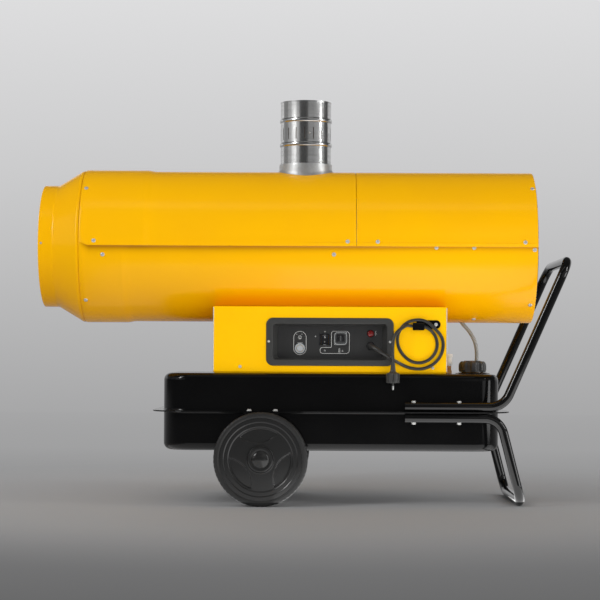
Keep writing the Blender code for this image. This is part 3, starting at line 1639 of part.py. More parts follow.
def make_fuel_line(hose_rubber, filter_plastic, brass, parent):
    """Fuel hose from the tank up into the barrel, and the filter by the box."""
    tank_end = tank_top - 2 * tank_sheet
    entry = axis_height - barrel_radius
    pump_port = axis_height - pump_height / 2 - touching_gap
    pump_x = motor_front - touching_gap - pump_length / 2
    rise = entry - tank_end
    swing = hose_tank_x - hose_entry_x
    drift = hose_entry_x - pump_x
    route = [(hose_tank_x, 0, tank_end)]
    for swing_share, rise_share in hose_lower_shares:
        route.append((hose_tank_x - swing * swing_share, 0, tank_end + rise * rise_share))
    for drift_share, rise_share in hose_upper_shares:
        route.append((hose_entry_x - drift * drift_share, 0,
                      entry + (pump_port - entry) * rise_share))
    path = smooth_route(route, 3 * hose_radius)
    hose = swept_tube(path, hose_radius, hose_radius - hose_bore_radius, hose_sides, (1, 0, 0))
    add_object("fuel_hose", hose, hose_rubber, parent=parent)
    place = (filter_x, filter_y, 0)
    foot = tank_top - fitting_foot
    hex_low = tank_top + touching_gap
    hex_high = hex_low + fitting_hex_height
    bore = fitting_radius / 2
    profile = [
        (foot, bore),
        (foot, fitting_radius),
        (hex_low, fitting_radius),
        (hex_low, fitting_hex_radius),
        (hex_high, fitting_hex_radius),
        (hex_high, fitting_radius),
        (filter_bottom - touching_gap, fitting_radius),
        (filter_bottom - touching_gap, bore),
    ]
    add_object("filter_fitting", turned(profile, small_facets, "Z", place), brass, parent=parent,
               smooth=False)
    top = filter_bottom + filter_length
    cap_part = filter_length / 4
    profile = [
        (filter_bottom, 0),
        (filter_bottom, filter_foot_radius),
        (filter_bottom + cap_part, filter_radius),
        (top - cap_part, filter_radius),
        (top - cap_part, filter_cap_radius),
        (top, filter_cap_radius),
        (top, 0),
    ]
    bowl = add_object("fuel_filter", turned(profile, small_facets, "Z", place, closed=False),
                      filter_plastic, parent=parent)
    stub = disc(filter_stub_radius, box_right + touching_gap, filter_x, pin_facets, "X",
                (0, filter_y, top - cap_part / 2))
    cut(bowl, "filter_stub", stub, "UNION")


def make_units(plastic, cast, parent):
    """Burner control unit and ignition transformer, both on the box's base."""
    foot = box_base_top + touching_gap
    unit = add_object("control_unit",
                      block((control_unit_x - control_unit_length / 2, -control_unit_width / 2,
                             foot),
                            (control_unit_x + control_unit_length / 2, control_unit_width / 2,
                             foot + control_unit_height)), plastic, parent=parent, smooth=False)
    soften(unit, unit_edge, 1)
    transformer = add_object("ignition_transformer",
                             block((transformer_x - transformer_length / 2,
                                    -transformer_width / 2, foot),
                                   (transformer_x + transformer_length / 2,
                                    transformer_width / 2, foot + transformer_height)),
                             cast, parent=parent, smooth=False)
    soften(transformer, unit_edge, 1)
    top = foot + transformer_height
    lead = disc(transformer_lead_radius, top - unit_edge, top + transformer_lead_height,
                small_facets, "Z", (transformer_x, 0, 0))
    cut(transformer, "transformer_lead", lead, "UNION")


def make_axle(steel, paint, parent):
    """Axle under the tank and the two hangers bolted below the flange."""
    end = wheel_outer_y - hub_cap_recess - touching_gap
    bm = disc(axle_radius, -end, end, small_facets, "Y", (axle_x, 0, axle_height))
    add_object("axle", bm, steel, parent=parent)
    top = flange_underside - touching_gap
    half = bracket_tab_length / 2
    for name, side in (("axle_hanger_near", -1), ("axle_hanger_far", 1)):
        inner = tank_half_width + axle_bracket_gap
        outline = [(axle_x + half, side * inner, top), (axle_x - half, side * inner, top)]
        lean = math.atan2(half, top - axle_height)
        for step in range(axle_eye_steps + 1):
            angle = half_turn - lean / 2 + (half_turn + lean) * step / axle_eye_steps
            outline.append((axle_x + axle_eye_radius * math.cos(angle), side * inner,
                            axle_height + axle_eye_radius * math.sin(angle)))
        hanger = add_object(name, prism(outline, (0, side * axle_bracket_plate, 0)), paint,
                            parent=parent, smooth=False)
        low_y, high_y = sorted((side * (inner + axle_bracket_plate / 2),
                                side * (inner + bracket_tab_width)))
        tab = block((axle_x - half, low_y, top - axle_bracket_plate), (axle_x + half, high_y, top))
        cut(hanger, name + "_tab", tab, "UNION")
        reach = sorted((side * (inner - cut_overrun), side * (inner + cut_overrun)))
        cut(hanger, name + "_eye", disc(axle_radius + touching_gap, reach[0], reach[1],
                                        small_facets, "Y", (axle_x, 0, axle_height)))


def wheel_profile(side):
    """The wheel disc's section, from the bore out; depth runs outwards from its inner face."""
    face = wheel_width - web_face_inset
    back = face - web_plate
    outer = wheel_width - rim_inset
    points = [(rim_inset, axle_bore), (rim_inset, hub_radius), (back, hub_radius)]
    points += [(back, rim_radius - rim_step_width), (rim_inset, rim_radius - rim_step_width),
               (rim_inset, rim_radius)]
    points += [(outer - wheel_rim_edge, rim_radius), (outer, rim_radius - wheel_rim_edge)]
    points += [(outer, rim_ring_radius + rim_step_width), (face, rim_ring_radius)]
    points += [(face, hub_radius + hub_slope), (wheel_width + hub_proud, hub_radius),
               (wheel_width + hub_proud, hub_cap_radius + touching_gap),
               (wheel_width - hub_cap_recess, hub_cap_radius + touching_gap),
               (wheel_width - hub_cap_recess, axle_bore)]
    return [(side * depth, radius) for depth, radius in points]


def pocket_outline(turn):
    """A lens between the rim ring and an arc that bulges towards the hub."""
    far, near, centre = pocket_outer_radius, pocket_arc_radius, pocket_arc_centre
    cosine = (far ** 2 + centre ** 2 - near ** 2) / (2 * far * centre)
    spread = math.acos(cosine)
    tip = Vector((far * math.cos(spread) - centre, far * math.sin(spread)))
    swing = math.atan2(tip.y, -tip.x)
    points = []
    for step in range(pocket_arc_steps + 1):
        angle = spread * (1 - 2 * step / pocket_arc_steps)
        points.append((far * math.cos(angle), far * math.sin(angle)))
    for step in range(1, pocket_arc_steps):
        angle = half_turn + swing * (1 - 2 * step / pocket_arc_steps)
        points.append((centre + near * math.cos(angle), near * math.sin(angle)))
    cosine, sine = math.cos(turn), math.sin(turn)
    return [(u * cosine - v * sine, u * sine + v * cosine) for u, v in points]


def make_wheel(label, side, plastic, tyre_rubber, parent):
    """One wheel: a dished disc with lens pockets, its tyre and its hub cap."""
    origin = (axle_x, side * wheel_inner_y, axle_height)
    wheel = add_object("wheel_" + label, turned(wheel_profile(side), wheel_facets, "Y"), plastic,
                       origin, parent)
    face = wheel_width - web_face_inset
    pockets = []
    for number in range(pocket_count):
        turn = pocket_first_angle + full_turn * number / pocket_count
        outline = [(u, side * (face - pocket_depth), v) for u, v in pocket_outline(turn)]
        pocket = prism(outline, (0, side * (pocket_depth + cut_overrun), 0))
        bmesh.ops.recalc_face_normals(pocket, faces=pocket.faces)
        pockets.append(pocket)
    cut(wheel, "pockets_" + label, merged(*pockets))
    bead = rim_radius + touching_gap
    low, high = tyre_inset, wheel_width - tyre_inset
    shoulder = wheel_radius - tyre_shoulder
    profile = [
        (low, bead),
        (low, shoulder),
        (low + tyre_shoulder, wheel_radius - tyre_shoulder / 5),
        (low + 2 * tyre_shoulder, wheel_radius),
        (high - 2 * tyre_shoulder, wheel_radius),
        (high - tyre_shoulder, wheel_radius - tyre_shoulder / 5),
        (high, shoulder),
        (high, bead),
    ]
    profile = [(side * depth, radius) for depth, radius in profile]
    add_object("tyre_" + label, turned(profile, wheel_facets, "Y"), tyre_rubber, origin, parent)
    foot = wheel_width - hub_cap_recess + touching_gap
    crest = wheel_width + hub_cap_rise
    profile = [(foot, 0), (foot, hub_cap_radius), (wheel_width + hub_proud, hub_cap_radius)]
    steps = 3
    for step in range(1, steps + 1):
        angle = quarter_turn * step / steps
        depth = wheel_width + hub_proud + (hub_cap_rise - hub_proud) * math.sin(angle)
        profile.append((depth, hub_cap_radius * math.cos(angle)))
    profile[-1] = (crest, 0)
    profile = [(side * depth, radius) for depth, radius in profile]
    add_object("hub_cap_" + label, turned(profile, small_facets + 4, "Y", closed=False), plastic,
               origin, parent)


def make_handle_and_leg(paint, parent):
    """Bent tubes bolted above and below the tank's flange."""
    handle = [
        (handle_start_x, -tube_y, handle_run_z),
        (handle_rise_x, -tube_y, handle_run_z),
        (handle_bar_x, -tube_y, handle_bar_z),
        (handle_bar_x, tube_y, handle_bar_z),
        (handle_rise_x, tube_y, handle_run_z),
        (handle_start_x, tube_y, handle_run_z),
    ]
    path = rounded_path(handle, (handle_bend, handle_top_bend, handle_top_bend, handle_bend),
                        bend_steps)
    bm = swept_tube(path, tube_radius, tube_wall, tube_sides, (0, 0, -1),
                    handle_lean - quarter_turn)
    add_object("push_handle", bm, paint, parent=parent)
    foot_z = tube_radius
    leg = [
        (handle_start_x, -tube_y, leg_run_z),
        (leg_drop_x, -tube_y, leg_run_z),
        (leg_foot_x, -tube_y, foot_z),
        (leg_foot_x, tube_y, foot_z),
        (leg_drop_x, tube_y, leg_run_z),
        (handle_start_x, tube_y, leg_run_z),
    ]
    lean = math.atan2(leg_foot_x - leg_drop_x, leg_run_z - foot_z)
    path = rounded_path(leg, (leg_bend, leg_foot_bend, leg_foot_bend, leg_bend), bend_steps)
    bm = swept_tube(path, tube_radius, tube_wall, tube_sides, (0, 0, -1), lean - quarter_turn)
    add_object("support_leg", bm, paint, parent=parent)


def main():
    """Clears the scene and builds every piece under one empty."""
    for old in list(bpy.data.objects):
        bpy.data.objects.remove(old)
    chassis = bpy.data.objects.new("heater", None)
    bpy.context.scene.collection.objects.link(chassis)
    yellow = material("yellow_paint", (0.93, 0.50, 0.01), 0.28, 0)
    black_gloss = material("black_gloss_paint", (0.012, 0.012, 0.012), 0.2, 0)
    black_plastic = material("black_plastic", (0.03, 0.03, 0.032), 0.45, 0)
    dark_plastic = material("dark_grey_plastic", (0.035, 0.035, 0.035), 0.5, 0)
    rubber = material("black_rubber", (0.02, 0.02, 0.02), 0.6, 0)
    tyre_rubber = material("tyre_rubber", (0.035, 0.035, 0.035), 0.7, 0)
    clear = material("clear_grey_plastic", (0.42, 0.43, 0.43), 0.25, 0)
    white = material("white_plastic", (0.8, 0.8, 0.78), 0.4, 0)
    red = material("red_lens", (0.45, 0.01, 0.01), 0.15, 0)
    hose_grey = material("hose_grey", (0.32, 0.33, 0.32), 0.35, 0)
    stainless = material("stainless_steel", (0.62, 0.62, 0.62), 0.22, 1)
    galvanised = material("galvanised_steel", (0.55, 0.56, 0.57), 0.4, 1)
    heat_steel = material("heat_resisting_steel", (0.4, 0.38, 0.36), 0.45, 1)
    bright_steel = material("bright_steel", (0.55, 0.55, 0.55), 0.3, 1)
    motor_paint = material("motor_grey_paint", (0.18, 0.19, 0.2), 0.45, 0)
    cast = material("cast_alloy", (0.45, 0.45, 0.46), 0.5, 1)
    brass = material("brass", (0.6, 0.38, 0.14), 0.3, 1)
    make_casing(yellow, chassis)
    make_outlet(yellow, chassis)
    make_chamber(heat_steel, chassis)
    make_exchanger(heat_steel, chassis)
    make_cradle(galvanised, chassis)
    make_flue(galvanised, stainless, chassis)
    make_burner(heat_steel, brass, chassis)
    make_motor(motor_paint, cast, galvanised, chassis)
    make_fan(cast, bright_steel, chassis)
    make_guard(black_gloss, chassis)
    make_box(yellow, chassis)
    make_panel(black_plastic, chassis)
    make_reset(clear, clear, chassis)
    make_switch(black_plastic, black_plastic, chassis)
    make_socket(clear, black_plastic, chassis)
    make_lamp_and_gland(red, black_plastic, chassis)
    make_cord(rubber, chassis)
    make_plug(rubber, chassis)
    make_strap(rubber, chassis)
    make_tank(black_gloss, chassis)
    make_filler(black_gloss, bright_steel, black_plastic, black_plastic, chassis)
    make_fuel_line(hose_grey, white, brass, chassis)
    make_units(black_plastic, cast, chassis)
    make_axle(bright_steel, black_gloss, chassis)
    make_wheel("near", -1, dark_plastic, tyre_rubber, chassis)
    make_wheel("far", 1, dark_plastic, tyre_rubber, chassis)
    make_handle_and_leg(black_gloss, chassis)
    bpy.context.view_layer.update()


main()
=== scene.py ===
"""Looks of an indirect fired heater: barrel, flue, control box, fuel tank, wheels and handle.

Every new piece is a surface of two parameters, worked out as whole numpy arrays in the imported
part's own frame: X from the hot air collar to the push handle, Y away from the control side,
Z up, in metres.
"""

import math

import bmesh
import bpy
import numpy as np
from mathutils import Matrix


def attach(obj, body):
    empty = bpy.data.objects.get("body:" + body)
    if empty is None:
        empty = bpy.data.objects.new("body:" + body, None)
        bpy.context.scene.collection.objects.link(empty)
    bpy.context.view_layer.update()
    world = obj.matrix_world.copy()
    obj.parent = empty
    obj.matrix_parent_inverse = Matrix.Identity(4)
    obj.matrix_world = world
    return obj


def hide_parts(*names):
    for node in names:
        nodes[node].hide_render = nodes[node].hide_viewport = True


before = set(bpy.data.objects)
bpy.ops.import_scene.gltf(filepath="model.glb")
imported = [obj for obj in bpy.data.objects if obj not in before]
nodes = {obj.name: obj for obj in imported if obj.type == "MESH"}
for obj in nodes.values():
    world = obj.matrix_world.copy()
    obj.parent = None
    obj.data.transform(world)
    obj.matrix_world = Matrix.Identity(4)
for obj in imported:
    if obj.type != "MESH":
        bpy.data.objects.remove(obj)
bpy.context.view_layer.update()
full_turn = 2 * math.pi

# Barrel
axis_height = 0.743
casing_radius = 0.2205
cover_radius = 0.2220
casing_front = -0.641
casing_rear = 0.667
casing_sheet = 0.0012
cover_band_end, trough_band_end = -0.462, -0.522
band_joggle = 0.027
band_rise = 0.0035
seam_drop = 0.008
lip_flare = 0.0042
cover_joint = 0.150
flue_place = 0.003
flue_radius = 0.0745
flue_beads = (1.0443, 1.1155)
bead_reach = 0.0060
slot_foot, slot_head = 1.0583, 1.0921
fan_place = 0.612

# Box and panel
box_left, box_right = -0.2565, 0.4095
box_front_y = 0.200
box_bottom, box_top = 0.3756, 0.5640
panel_x, panel_z = 0.0762, 0.4632
panel_front = -0.205
panel_floor = -0.170
panel_opening = (0.16275, 0.0510)
reset_place, switch_place, socket_place = (-0.0856, -0.0186), (-0.0145, 0.0058), (0.0306, 0.0101)
lamp_place, gland_place = (0.1166, 0.0245), (0.1164, -0.0111)

# Tank, axle and tubes
tank_left, tank_right = -0.400, 0.560
tank_half_width = 0.226
tank_bottom, tank_top = 0.1535, 0.3735
flange_height = 0.2649
axle_x, axle_height = -0.117, 0.1325
wheel_inner_y = 0.264
tube_radius = 0.0135
tube_y = 0.242

# Sheet thicknesses
box_sheet = 0.0015
pipe_sheet = 0.0009
panel_wall = 0.0018

# Studio
camera_place = (0.0559, -5.75, 0.434)
look_rise = 52 / 1946.4
stage_half_width = 14
backdrop_y, backdrop_top = 8, 4.3


def smooth_step(value):
    """Zero below 0, one above 1, and an S-shaped rise between."""
    value = np.clip(value, 0, 1)
    return value * value * (3 - 2 * value)


def set_camera():
    """The camera stands in front, looks slightly up, and is rolled a third of a degree."""
    data = bpy.data.cameras.new("studio_camera")
    data.lens = 116.78
    data.sensor_width = 36
    data.clip_end = 60
    camera = bpy.data.objects.new("studio_camera", data)
    ahead = np.array([-0.0118, 1, look_rise])
    ahead /= np.linalg.norm(ahead)
    right = np.cross(ahead, [0, 0, 1])
    right /= np.linalg.norm(right)
    up = np.cross(right, ahead)
    roll = 0.0052
    right, up = (right * math.cos(roll) + up * math.sin(roll),
                 up * math.cos(roll) - right * math.sin(roll))
    turn = np.eye(4)
    turn[:3, 0], turn[:3, 1], turn[:3, 2] = right, up, -ahead
    turn[:3, 3] = camera_place
    camera.matrix_world = Matrix(turn.tolist())
    bpy.context.scene.collection.objects.link(camera)
    bpy.context.scene.camera = camera
    bpy.context.scene.view_settings.view_transform = "Standard"


# Shapes: each is its points, its four-sided faces and its other faces


def cells(rows, columns, wrap_rows, wrap_columns):
    """Corner numbers of each cell of a grid; a wrapped direction joins its last line to its first."""
    row = np.arange(rows if wrap_rows else rows - 1)
    column = np.arange(columns if wrap_columns else columns - 1)
    a, b = np.meshgrid(row, column, indexing="ij")
    a_next, b_next = (a + 1) % rows, (b + 1) % columns
    corners = [a * columns + b, a * columns + b_next, a_next * columns + b_next, a_next * columns + b]
    return np.stack(corners, -1).reshape(-1, 4)


def skin(grid, wrap_rows=False, wrap_columns=True, ends=True):
    """A grid of points as a shape; where its rows are closed rings, flat ends close it."""
    rows, columns = grid.shape[:2]
    quads = cells(rows, columns, wrap_rows, wrap_columns)
    others = []
    if ends and wrap_columns and not wrap_rows:
        others = [np.arange(columns), np.arange(columns) + (rows - 1) * columns]
    return grid.reshape(-1, 3), quads, others


def joined(*shapes):
    """Several shapes as one: later faces count on from the earlier points."""
    points, quads, others, start = [], [], [], 0
    for own_points, own_quads, own_others in shapes:
        points.append(own_points)
        quads.append(own_quads + start)
        others += [face + start for face in own_others]
        start += len(own_points)
    return np.concatenate(points), np.concatenate(quads), others


def turn_steps(count):
    """Angles that share a full turn evenly."""
    return np.arange(count) * full_turn / count


def quarter_steps(count):
    """Angles evenly from zero to a quarter turn, both included."""
    return np.linspace(0, math.pi / 2, count)


def rings(place, radius, angle, axis, centre=(0, 0, 0)):
    """Points round an axis: centre + place * axis + radius * (cos t, sin t) across it."""
    across = radius * np.cos(angle), radius * np.sin(angle)
    place = np.broadcast_to(place, across[0].shape)
    order = {"X": (place, *across), "Y": (across[0], place, across[1]), "Z": (*across, place)}[axis]
    return np.stack(order, -1) + np.array(centre, float)


def turned(profile, axis="X", centre=(0, 0, 0), steps=96, closed=True):
    """A profile of (place along the axis, radius) carried round the axis.

    An open profile starts and ends on the axis.
    """
    profile = np.array(profile, float)
    grid = rings(profile[:, :1], profile[:, 1:], turn_steps(steps), axis, centre)
    return skin(grid, wrap_rows=closed, ends=False)


def ring_wire(radius, wire, axis, centre, steps=72, sides=8):
    """A wire ring: a small circle carried round a large one."""
    angle = turn_steps(sides)
    profile = np.stack([wire * np.cos(angle), radius + wire * np.sin(angle)], -1)
    return turned(profile, axis, centre, steps)


def filleted(corners, radii, steps=8, closed=False):
    """A line through corners, each rounded by an arc of its own radius that touches both sides."""
    corners = np.array(corners, float)
    count = len(corners)
    radii = np.broadcast_to(np.array(radii, float), (count,))
    points = []
    for place in range(count):
        corner = corners[place]
        if (place in (0, count - 1) and not closed) or radii[place] <= 0:
            points.append(corner[None])
            continue
        back = corners[place - 1] - corner
        ahead = corners[(place + 1) % count] - corner
        back, ahead = back / np.linalg.norm(back), ahead / np.linalg.norm(ahead)
        half = math.acos(np.clip(np.dot(back, ahead), -1, 1)) / 2
        middle = corner + (back + ahead) / np.linalg.norm(back + ahead) * radii[place] / math.sin(half)
        start, end = (corner + way * radii[place] / math.tan(half) - middle for way in (back, ahead))
        sweep = math.pi - 2 * half
        share = np.linspace(0, 1, steps + 1)[:, None]
        points.append(middle + (np.sin((1 - share) * sweep) * start + np.sin(share * sweep) * end)
                      / math.sin(sweep))
    return np.concatenate(points)


def ring_outline(half_width, half_height, corner, steps=10):
    """A rounded rectangle as corner arcs, counter-clockwise."""
    quarter = np.arange(4)[:, None]
    angle = (quarter + np.linspace(0, 1, steps + 1)) * math.pi / 2
    side_u = np.array([1, -1, -1, 1])[:, None]
    side_v = np.array([1, 1, -1, -1])[:, None]
    u = side_u * (half_width - corner) + corner * np.cos(angle)
    v = side_v * (half_height - corner) + corner * np.sin(angle)
    return np.stack([u, v], -1).reshape(-1, 2)


def even_normals(mesh, crease):
    """Normals for the corners: faces round a point count by area, and only within the crease.

    Long flat faces beside small bends stay flat in their shading.
    """
    count = len(mesh.loops)
    vertex = np.zeros(count, np.int32)
    mesh.loops.foreach_get("vertex_index", vertex)
    sizes = np.zeros(len(mesh.polygons), np.int32)
    mesh.polygons.foreach_get("loop_total", sizes)
    normal = np.zeros(len(mesh.polygons) * 3)
    area = np.zeros(len(mesh.polygons))
    mesh.polygons.foreach_get("normal", normal)
    mesh.polygons.foreach_get("area", area)
    face = np.repeat(np.arange(len(sizes)), sizes)
    own = normal.reshape(-1, 3)[face]
    weighted = own * area[face][:, None]
    order = np.argsort(vertex, kind="stable")
    total = weighted.copy()
    for shift in range(1, 8):
        first, second = order[:-shift], order[shift:]
        near = vertex[first] == vertex[second]
        near &= np.einsum("ij,ij->i", own[first], own[second]) > math.cos(math.radians(crease))
        np.add.at(total, first[near], weighted[second[near]])
        np.add.at(total, second[near], weighted[first[near]])
    total /= np.maximum(np.linalg.norm(total, axis=1), 1e-12)[:, None]
    mesh.normals_split_custom_set(total.tolist())


def stacked(levels, across, centre=(0, 0, 0), steps=10, closed=False):
    """Rounded rectangles, one for each level (place, half width, half height, corner).

    They stand across Y where across is "Y" and lie across Z where it is "Z".
    """
    outlines = []
    for place, half_width, half_height, corner in levels:
        outline = ring_outline(half_width, half_height, corner, steps)
        level = np.full(len(outline), place)
        order = (outline[:, 0], level, outline[:, 1]) if across == "Y" else (*outline.T, level)
        outlines.append(np.stack(order, -1))
    return skin(np.array(outlines) + np.array(centre, float), wrap_rows=closed)


def rounded_block(low, high, radius, steps=4):
    """A box with round edges: corner point + radius * direction, over all directions."""
    low, high = np.array(low, float), np.array(high, float)
    middle, half = (low + high) / 2, (high - low) / 2 - radius
    tilt = np.concatenate([np.linspace(-math.pi / 2, 0, steps + 1),
                           np.linspace(0, math.pi / 2, steps + 1)])
    side = np.repeat([-1, 1], steps + 1)
    outline = ring_outline(1, 1, 1, steps)
    corner = np.repeat([[1, 1], [-1, 1], [-1, -1], [1, -1]], steps + 1, axis=0)
    flat = radius * np.cos(tilt)[:, None, None] * outline + corner * half[:2]
    height = np.broadcast_to((side * half[2] + radius * np.sin(tilt))[:, None, None],
                             flat.shape[:2] + (1,))
    return skin(middle + np.concatenate([flat, height], -1))


def carried_frames(path, first_normal):
    """Normals and sides along a path: each normal is the one before, kept square to the path."""
    ahead = np.diff(path, axis=0, append=path[-1:])
    ahead[-1] = ahead[-2]
    ahead /= np.linalg.norm(ahead, axis=1)[:, None]
    tangent = ahead.copy()
    tangent[1:] += ahead[:-1]
    tangent /= np.linalg.norm(tangent, axis=1)[:, None]
    normal = np.array(first_normal, float)
    normals = []
    for way in tangent:
        normal = normal - way * np.dot(normal, way)
        normal = normal / np.linalg.norm(normal)
        normals.append(normal)
    normals = np.array(normals)
    return normals, np.cross(tangent, normals)


def tube(path, radius, first_normal=(0, 0, 1), sides=20):
    """A round bar along a path: point = path + radius * (normal cos t + side sin t)."""
    path = np.array(path, float)
    normals, across = carried_frames(path, first_normal)
    radius = np.broadcast_to(np.array(radius, float), (len(path),))[:, None, None]
    angle = turn_steps(sides)[None, :, None]
    grid = path[:, None] + radius * (normals[:, None] * np.cos(angle) + across[:, None] * np.sin(angle))
    return skin(grid)


def at_depth(outline, y):
    """An outline of (x, z) places stood up at a depth."""
    return np.stack([outline[:, 0], np.full(len(outline), y), outline[:, 1]], -1)


def outside_holes(places, holes):
    """Which places lie outside every hole (left, right, foot, head), seen along Y."""
    kept = np.ones(len(places), bool)
    for left, right, foot, head in holes:
        kept &= ~((places[:, 0] > left) & (places[:, 0] < right)
                  & (places[:, 2] > foot) & (places[:, 2] < head))
    return kept


def ribbon(path, width, y, proud=0.0003, loop=False):
    """A flat painted line across Y: the path's points moved half the width to each side."""
    path = np.array(path, float)
    if loop:
        way = np.roll(path, -1, 0) - np.roll(path, 1, 0)
    else:
        way = np.gradient(path, axis=0)
    way = way / np.linalg.norm(way, axis=1)[:, None]
    side = np.stack([-way[:, 1], way[:, 0]], -1) * width / 2
    left, right = path + side, path - side
    rows = [(left, y), (left, y - proud), (right, y - proud), (right, y)]
    grid = np.stack([at_depth(line, depth) for line, depth in rows], 1)
    return skin(grid, wrap_rows=loop, ends=not loop)


def placed(shape, centre, up):
    """Moves a shape that stands on the origin with +Z up so that +Z points along up."""
    up = np.array(up, float) / np.linalg.norm(up)
    helper = np.array([1.0, 0, 0]) if abs(up[0]) < 0.9 else np.array([0, 1.0, 0])
    side = np.cross(helper, up)
    side /= np.linalg.norm(side)
    turn = np.stack([np.cross(side, up), side, up])
    return shape[0] @ turn + np.array(centre, float), shape[1], shape[2]


def screw_head(radius, height):
    """A round head with a cross recess: height falls to the rim as a dome, less the cross."""
    share = np.array([0, 0.22, 0.34, 0.6, 0.8, 0.93, 1, 1])
    rise = np.array([1, 0.99, 0.97, 0.88, 0.72, 0.5, 0.2, 0])
    angle = turn_steps(16)
    x, y = share[:, None] * np.cos(angle), share[:, None] * np.sin(angle)
    cross = (np.minimum(abs(x), abs(y)) < 0.13) & (share[:, None] < 0.62)
    level = rise[:, None] * height - cross * height * 0.55
    grid = np.stack([x * radius, y * radius, np.maximum(level, 0)], -1)
    return skin(grid, ends=False)


def hex_head(radius, height):
    """A hexagon head on its washer, each a short prism."""
    corners = turn_steps(6)
    flat = np.stack([radius * np.cos(corners), radius * np.sin(corners), np.full(6, 0.0008)], -1)
    washer = turned([(0, 0), (0, radius * 1.35), (0.0008, radius * 1.3), (0.0008, 0)], "Z",
                    steps=20, closed=False)
    inner = flat.copy()
    inner[:, :2] *= 0.86
    inner[:, 2] = height
    edge = flat.copy()
    edge[:, 2] = height * 0.86
    return joined(washer, skin(np.stack([flat, edge, inner])))


def sharpen_rims(mesh):
    """Marks the edges of a sheet that belong to one face only, so its wall's rims shade crisply."""
    edge_of, sharp = np.zeros(len(mesh.loops), np.int32), np.zeros(len(mesh.edges), bool)
    mesh.loops.foreach_get("edge_index", edge_of)
    mesh.edges.foreach_get("use_edge_sharp", sharp)
    mesh.edges.foreach_set("use_edge_sharp", sharp | (np.bincount(edge_of, minlength=len(sharp)) == 1))


def make_piece(name, parts, body, replaces=(), crease=38, facing=None, wall=0):
    """A mesh of shapes, each with its own finish, that rides on a body.

    Closed shapes have their faces turned outwards. A sheet, which has a wall, faces away from the
    point or line that facing gives, and its wall grows inwards.
    """
    mesh = bpy.data.meshes.new(name)
    shape = joined(*[part for part, _ in parts])
    faces = [tuple(face) for face in shape[1].tolist()] + [tuple(face.tolist()) for face in shape[2]]
    mesh.from_pydata(shape[0].tolist(), [], faces)
    finishes = []
    for _, finish in parts:
        if finish not in finishes:
            finishes.append(finish)
    for finish in finishes:
        mesh.materials.append(finish)
    quads = np.concatenate([np.full(len(part[1]), finishes.index(finish)) for part, finish in parts])
    others = [finishes.index(finish) for part, finish in parts for _ in part[2]]
    mesh.polygons.foreach_set("material_index", np.concatenate([quads, others]).astype(np.int32))
    bm = bmesh.new()
    bm.from_mesh(mesh)
    bmesh.ops.remove_doubles(bm, verts=bm.verts, dist=1e-6)
    bmesh.ops.dissolve_degenerate(bm, edges=bm.edges, dist=1e-7)
    bmesh.ops.recalc_face_normals(bm, faces=bm.faces)
    bm.to_mesh(mesh)
    bm.free()
    if facing is not None:
        count = len(mesh.polygons)
        normal, middle = np.zeros(count * 3), np.zeros(count * 3)
        mesh.polygons.foreach_get("normal", normal)
        mesh.polygons.foreach_get("center", middle)
        away = (middle.reshape(-1, 3) - np.array(facing[1])) * np.array(facing[0])
        if np.sum(normal.reshape(-1, 3) * away) < 0:
            mesh.flip_normals()
    mesh.shade_smooth()
    mesh.set_sharp_from_angle(angle=math.radians(crease))
    if wall:
        sharpen_rims(mesh)
    else:
        even_normals(mesh, crease)
    piece = bpy.data.objects.new(name, mesh)
    bpy.context.scene.collection.objects.link(piece)
    if wall:
        solid = piece.modifiers.new("wall", "SOLIDIFY")
        solid.thickness = wall
        solid.offset = -1
    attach(piece, body)
    if replaces:
        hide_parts(*replaces)
    return piece


# Shared effects


def new_group(name, inputs, outputs):
    """An empty node group with named number inputs and outputs."""
    group = bpy.data.node_groups.new(name, "ShaderNodeTree")
    for label, kind, start in inputs:
        socket = group.interface.new_socket(label, in_out="INPUT", socket_type=kind)
        if start is not None:
            socket.default_value = start
    for label, kind in outputs:
        group.interface.new_socket(label, in_out="OUTPUT", socket_type=kind)
    start = group.nodes.new("NodeGroupInput")
    end = group.nodes.new("NodeGroupOutput")
    return group, start.outputs, end.inputs


def add_math(tree, operation, first, second, clamp=False):
    """A Math node whose inputs are numbers or sockets."""
    node = tree.nodes.new("ShaderNodeMath")
    node.operation = operation
    node.use_clamp = clamp
    for socket, value in zip(node.inputs, (first, second)):
        if isinstance(value, (int, float)):
            socket.default_value = value
        else:
            tree.links.new(value, socket)
    return node.outputs[0]


def add_noise(tree, vector, scale, detail=2, roughness=0.5):
    """A Noise Texture's value at a number of cells to the metre."""
    node = tree.nodes.new("ShaderNodeTexNoise")
    node.inputs["Detail"].default_value = detail
    node.inputs["Roughness"].default_value = roughness
    tree.links.new(vector, node.inputs["Vector"])
    if isinstance(scale, (int, float)):
        node.inputs["Scale"].default_value = scale
    else:
        tree.links.new(scale, node.inputs["Scale"])
    return node.outputs[0]


number, vector = "NodeSocketFloat", "NodeSocketVector"


def facing_height(group):
    """How far the surface faces up: one straight up, minus one straight down."""
    surface = group.nodes.new("ShaderNodeNewGeometry")
    split = group.nodes.new("ShaderNodeSeparateXYZ")
    group.links.new(surface.outputs["Normal"], split.inputs[0])
    return split.outputs["Z"]


def grain_group():
    """Fine and coarse noise: the grain's height, and a slow tone that wanders over the piece."""
    group, given, out = new_group("grain", [("Vector", vector, None),
                                            ("Fine Scale", number, 900.0),
                                            ("Coarse Scale", number, 9.0)],
                                  [("Height", number), ("Tone", number)])
    fine = add_noise(group, given["Vector"], given["Fine Scale"], 3, 0.6)
    coarse = add_noise(group, given["Vector"], given["Coarse Scale"], 4, 0.55)
    group.links.new(fine, out["Height"])
    group.links.new(coarse, out["Tone"])
    return group


